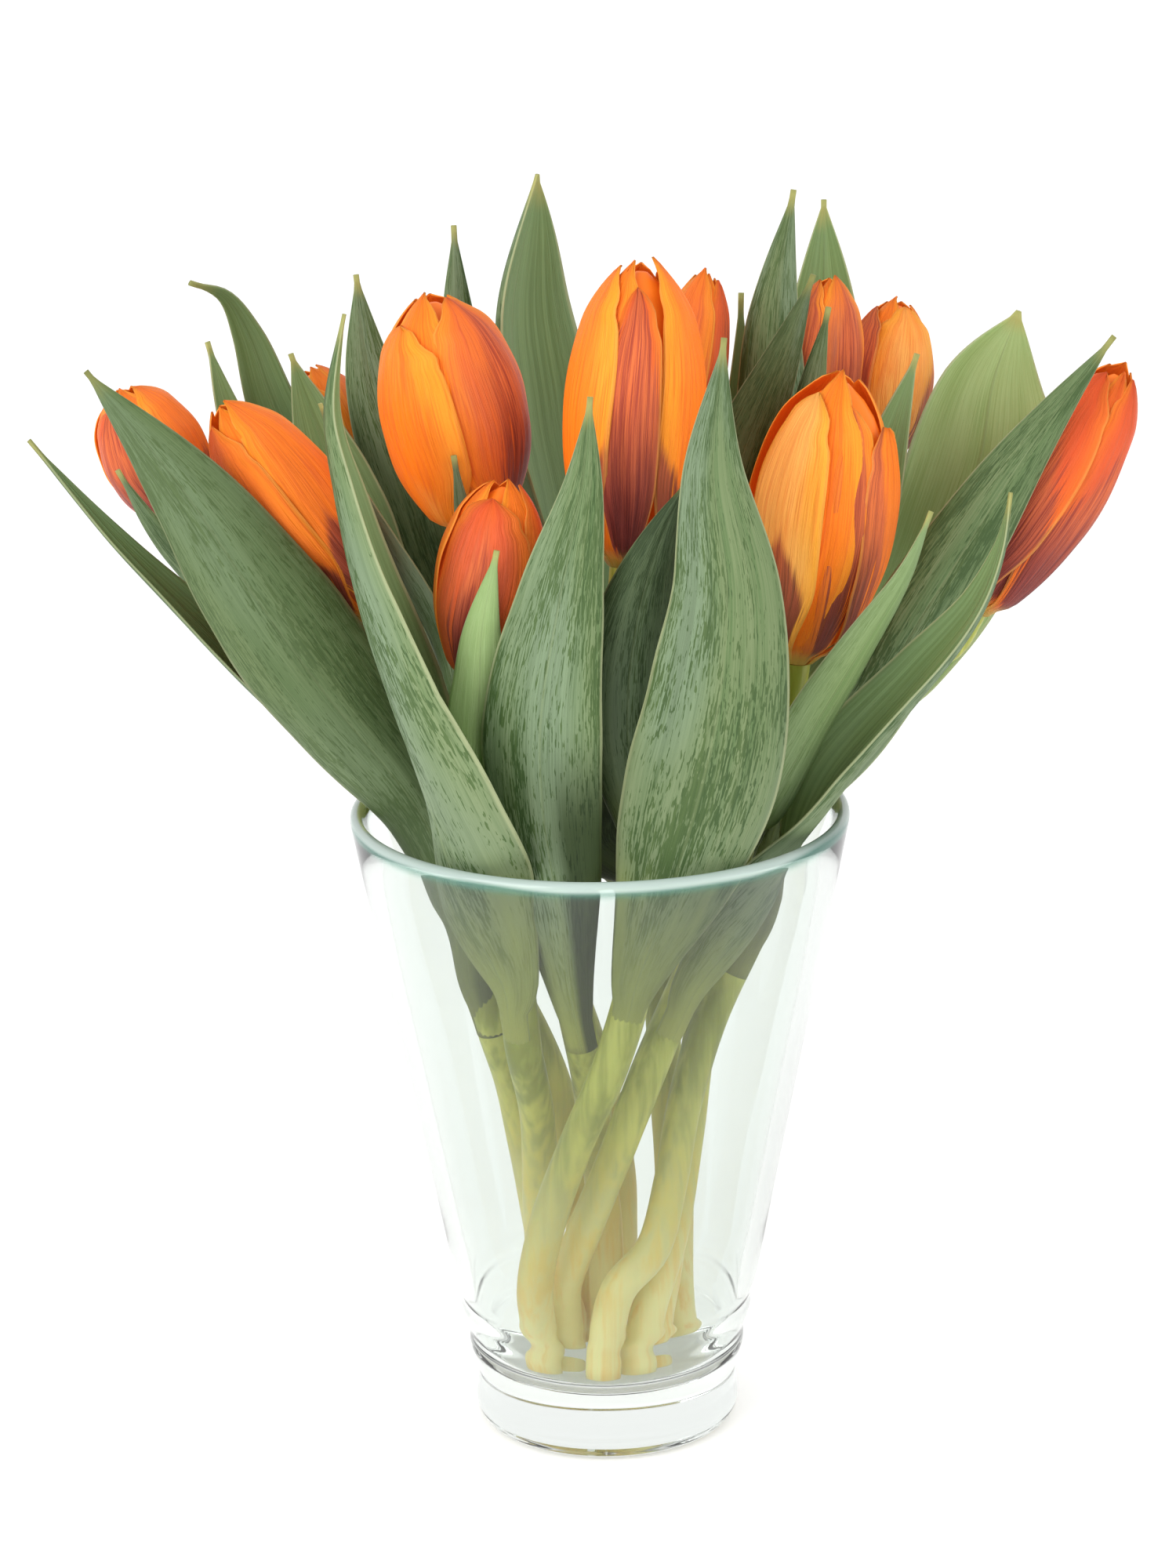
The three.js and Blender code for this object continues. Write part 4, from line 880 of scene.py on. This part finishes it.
petal_skin, shader, wire = new_material("petal skin", Specular_IOR_Level=0.22, Emission_Strength=0.07)
petal_place = wire.node("UVMap", uv_map="petal")
petal_across, petal_up = petal_place.part("X"), petal_place.part("Y")
inside_face, seed, plume, rise, lean, red, mauve = (
    wire.node("Attribute", output="Fac", attribute_name=name) for name in ("inside", "seed", *PETAL_FIELDS)
)
off_centre = abs(petal_across - 0.5) * 2
off_flame = abs(petal_across - 0.5 - lean * 0.5) * 2


def petal_fibres(across_count, up_count, detail, offset):
    """Noise drawn out along the petal's veins, which fan out from its base."""
    fan = (petal_across - 0.5) * across_count
    cell = {"X": fan, "Y": petal_up * up_count, "Z": seed * 21.3 + offset}
    return wire.node("CombineXYZ", cell).noise(1.0, detail)


feather = petal_fibres(26, 2.6, 2.0, 0.0)
fine = petal_fibres(100, 4.0, 2.0, 5.0)
wash = petal_fibres(3.0, 2.2, 2.0, 11.0)

# Orange, redder on some petals, golden towards the edges, with red veins and salmon low down.
flush = red + wash * 0.5 - 0.25
warm = flush.step(0.0, 0.4).blend((0.98, 0.47, 0.1, 1), (0.98, 0.215, 0.01, 1))
flushed = flush.step(0.5, 1.05).blend(warm, (0.74, 0.082, 0.012, 1))
edge_share = (off_centre + wash * 0.6 - 0.3 + petal_up * 0.2).step(0.55, 1.05)
golden = (edge_share * (0.85 - red * 0.55)).blend(flushed, (0.98, 0.38, 0.022, 1))
vein_share = (fine * 0.6 + feather * 0.4).step(0.46, 0.64) * (0.32 + red * 0.25)
veined = vein_share.blend(golden, (0.66, 0.085, 0.01, 1))
salmon_share = mauve * (1 - off_centre.step(0.3, 1.1)) * (feather * 0.8 + 0.3)
salmon_share = salmon_share * (1 - petal_up.step(0.6, 1.15))
salmon = salmon_share.blend(veined, (0.43, 0.125, 0.07, 1))

# The plum flame, whose edges and top fray along the veins. It is darkest at its foot.
frayed = (feather - 0.5) * 0.9 + (fine - 0.5) * 0.4
flame_top = 1 - (petal_up / (rise + 0.001) + frayed).step(0.35, 1.0)
flame_width = plume * (0.25 + flame_top * 0.75) * petal_up.step(0.0, 0.14) * 1.1
side_fray = (feather - 0.5) * 1.3 * plume.step(0.0, 0.5) + (fine - 0.5) * 0.4
flame_shape = flame_width * flame_top - off_flame + side_fray
flame_mask = flame_shape.step(-0.05, 0.16) * plume.step(0.02, 0.3) * flame_top.step(0.0, 0.25)
plum_veins = (feather * 0.5 + fine * 0.5).step(0.38, 0.62)
low_plum = plum_veins.blend((0.07, 0.012, 0.018, 1), (0.25, 0.045, 0.038, 1))
high_plum = plum_veins.blend((0.36, 0.052, 0.028, 1), (0.76, 0.165, 0.045, 1))
plum = (petal_up + wash * 0.2 - 0.1).step(0.16, 0.74).blend(low_plum, high_plum)
flamed = (flame_mask * 0.9).blend(salmon, plum)

# The yellow foot, the light rim and the plainer inner side. A faint glow of the petal's own colour
# stands for the light that shines through it.
foot_share = (1 - (petal_up + feather * 0.05).step(0.02, 0.12)) * 0.85
yellow_foot = foot_share.blend(flamed, (0.7, 0.5, 0.1, 1))
rim_light = ((off_centre + fine * 0.05).step(0.94, 1.0) * 0.4).blend(yellow_foot, (0.96, 0.42, 0.08, 1))
petal_colour = (inside_face * 0.6).blend(rim_light, (0.85, 0.17, 0.012, 1))
drive(shader, {"Base Color": petal_colour, "Emission Color": petal_colour, "Roughness": 0.36 + fine * 0.22})
drive(shader, {"Normal": (fine * 0.4 + feather * 0.6).bump(0.75, 0.0012)})


def swell(share):
    """How wide a bloom is at a share of its height, as a share of its widest radius."""
    return np.sin(np.pi * (0.06 + 0.88 * share)) ** 0.6


def around(base, axis, angle, out, lengths):
    """Points at angles round an axis, at distances out from it and at lengths up it."""
    side = unit(np.cross(axis, (0, -1, 0)))
    spoke = np.cos(angle)[:, :, None] * side + np.sin(angle)[:, :, None] * np.cross(axis, side)
    return base + out[:, :, None] * spoke + lengths[:, :, None] * axis


for number, stem in enumerate(stems, 1):
    base = stem["neck"] + (0, shift_along(stem["shifts"], 1.0), 0)
    axis, height, radius = stem["axis"], stem["height"], stem["radius"]
    rng = random.Random(number * 7)
    all_points, all_faces, all_uv = [], [], []
    fields = {name: [] for name in ("inside", "seed", *PETAL_FIELDS)}
    for order, (direction, half, top, *looks) in enumerate(PETAL_LOOKS[number]):
        layer, narrowing = (1.0, 0.82) if order < OUTER_PETALS else (INNER_LAYER, 0.93)
        up = np.linspace(0.0, 1.0, PETAL_ROWS)[:, None] ** 0.9
        across = np.linspace(-1, 1, PETAL_COLUMNS + 1)[None, :]
        u = PETAL_FOOT + (top - PETAL_FOOT) * up
        broad = 0.62 + 0.38 * smooth(up / 0.35)
        taper = np.maximum(0, 1 - np.maximum(0, (up - 0.6) / 0.4) ** 3.6) ** 0.5
        frill = 1 + 0.09 * smooth((up - 0.78) / 0.15) * np.sin(up * 48 + rng.uniform(0, FULL_TURN))
        outline = np.maximum(0.04, broad * taper * frill)
        closing = np.sqrt(1 - narrowing * np.clip((u - 0.8) / 0.2, 0, 1) ** 2)
        reach = lerp(PETAL_FOOT_RADIUS, radius * swell(np.minimum(1, u)), smooth(u / 0.1)) * layer * closing
        sway = 0.05 * np.sin(up * 5 + rng.uniform(0, FULL_TURN))
        angle = np.radians(direction) + (across * half + sway) * outline
        bow = 1 - 0.04 * across**2 + 0.045 * across * smooth(up * 2)
        groove = -0.022 * np.exp(-((across / 0.1) ** 2)) * smooth(up * 3)
        curl = 0.05 * smooth((up - 0.9) / 0.1) * rng.uniform(-0.6, 1.2)
        waves = sum(
            0.010 * np.sin(up * k + across * rng.uniform(1, 4) + rng.uniform(0, FULL_TURN))
            for k in (7, 12, 19)
        ) * np.abs(across) ** 0.7
        ribs = 0.012 * np.sin(across * 8.5 + rng.uniform(0, FULL_TURN) + up) * smooth(up * 3)
        out = reach * (bow + groove + curl + waves + ribs)
        surface = around(base, axis, angle, out, u * height + 0.3)
        normal = unit(np.cross(np.gradient(surface, axis=1), np.gradient(surface, axis=0)))
        thin = (PETAL_THICKNESS / 2) * (1 - 0.5 * np.abs(across) ** 4)[:, :, None]
        points = closed_blade(surface, normal, thin)
        first = sum(len(p) for p in all_points)
        all_points.append(points)
        all_faces += [tuple(first + c for c in f) for f in blade_faces(PETAL_ROWS, PETAL_COLUMNS)]
        all_uv.append(blade_map(across.ravel(), up.ravel()))
        count = len(points)
        fields["inside"].append(np.repeat([0.0, 1.0], count // 2))
        fields["seed"].append(np.full(count, rng.uniform(0, 1)))
        for name, value in zip(PETAL_FIELDS, looks):
            fields[name].append(np.full(count, value))

    heart_up = np.linspace(HEART_LOW, HEART_HIGH, HEART_RINGS)[:, None]
    heart_turn = np.linspace(0, 2 * np.pi, HEART_SIDES, endpoint=False)[None, :]
    heart_reach = HEART_SHARE * radius * swell(heart_up)
    heart_reach = heart_reach * np.sqrt(1 - 0.95 * np.clip((heart_up - 0.76) / 0.195, 0, 1) ** 2)
    heart_reach = heart_reach * (1 + 0.05 * np.cos(3 * heart_turn + np.radians(stem["turn"])))
    rings = around(base, axis, heart_turn, heart_reach, heart_up * height)
    ends = [base + share_up * height * axis for share_up in HEART_ENDS]
    heart_points = np.vstack([rings.reshape(-1, 3), ends])
    first = sum(len(p) for p in all_points)
    count = len(heart_points)
    all_points.append(heart_points)
    all_faces += turned_faces(HEART_RINGS, HEART_SIDES, first, first + count - 2, first + count - 1)
    heart_share = np.append(np.repeat(heart_up.ravel(), HEART_SIDES), HEART_ENDS)
    all_uv.append(np.stack([np.full(count, 0.5), heart_share], axis=1))
    for name, value in HEART_LOOKS.items():
        fields[name].append(np.full(count, value))
    made = piece(
        f"tulip_{number:02d}_petals", np.vstack(all_points), all_faces, petal_skin,
        {"petal": np.vstack(all_uv)}, {name: np.concatenate(v) for name, v in fields.items()},
    )
    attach(made, "root")
    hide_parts(f"tulip_{number:02d}_bloom")

# ---- Floor and light ----
# A white paper floor under and around the vase, lit by a bright room and two large soft lamps.
# It glows a little, more so under the glass, which would otherwise gather a dark disc there.
PAPER_HALF = 6000
PAPER_LEVEL = -0.2
LAMP_SIZE = 1.7
LAMP_AIM = np.array((0, 0, 0.2))
LAMPS = (("left lamp", (-1.5, -1.6, 1.1), 28), ("right lamp", (1.6, -1.3, 0.9), 9))

paper, shader, wire = new_material(
    "white paper", Roughness=0.7, Specular_IOR_Level=0.1, Emission_Strength=0.5
)
place = wire.node("TexCoord", output="Object")
grain = place.noise(60.0, 2.0).blend((0.93, 0.93, 0.93, 1), (0.96, 0.96, 0.96, 1))
distance = wire.node("VectorMath", {0: place}, "Value", operation="LENGTH")
glow = distance.step(0.04, 0.16).blend((0.5, 0.5, 0.5, 1), (0.2, 0.2, 0.2, 1))
drive(shader, {"Base Color": grain, "Emission Color": glow})
corners = ((-1, -1), (1, -1), (1, 1), (-1, 1))
floor_points = [(x * PAPER_HALF, y * PAPER_HALF, PAPER_LEVEL) for x, y in corners]
floor = piece("floor", floor_points, [(0, 1, 2, 3)], paper)

world = bpy.data.worlds.new("bright room")
world.use_nodes = True
background = world.node_tree.nodes["Background"]
background.inputs["Color"].default_value = (1, 1, 1, 1)
background.inputs["Strength"].default_value = 1.0
bpy.context.scene.world = world
bpy.context.scene.view_settings.view_transform = "Standard"
for name, place, power in LAMPS:
    lamp = bpy.data.lights.new(name, "AREA")
    lamp.shape, lamp.size, lamp.energy = "DISK", LAMP_SIZE, power
    back = unit(np.array(place) - LAMP_AIM)
    side = unit(np.cross((0, 0, 1), back))
    stand = bpy.data.objects.new(name, lamp)
    stand.matrix_world = axes_at(side, np.cross(back, side), back, place)
    show(stand)
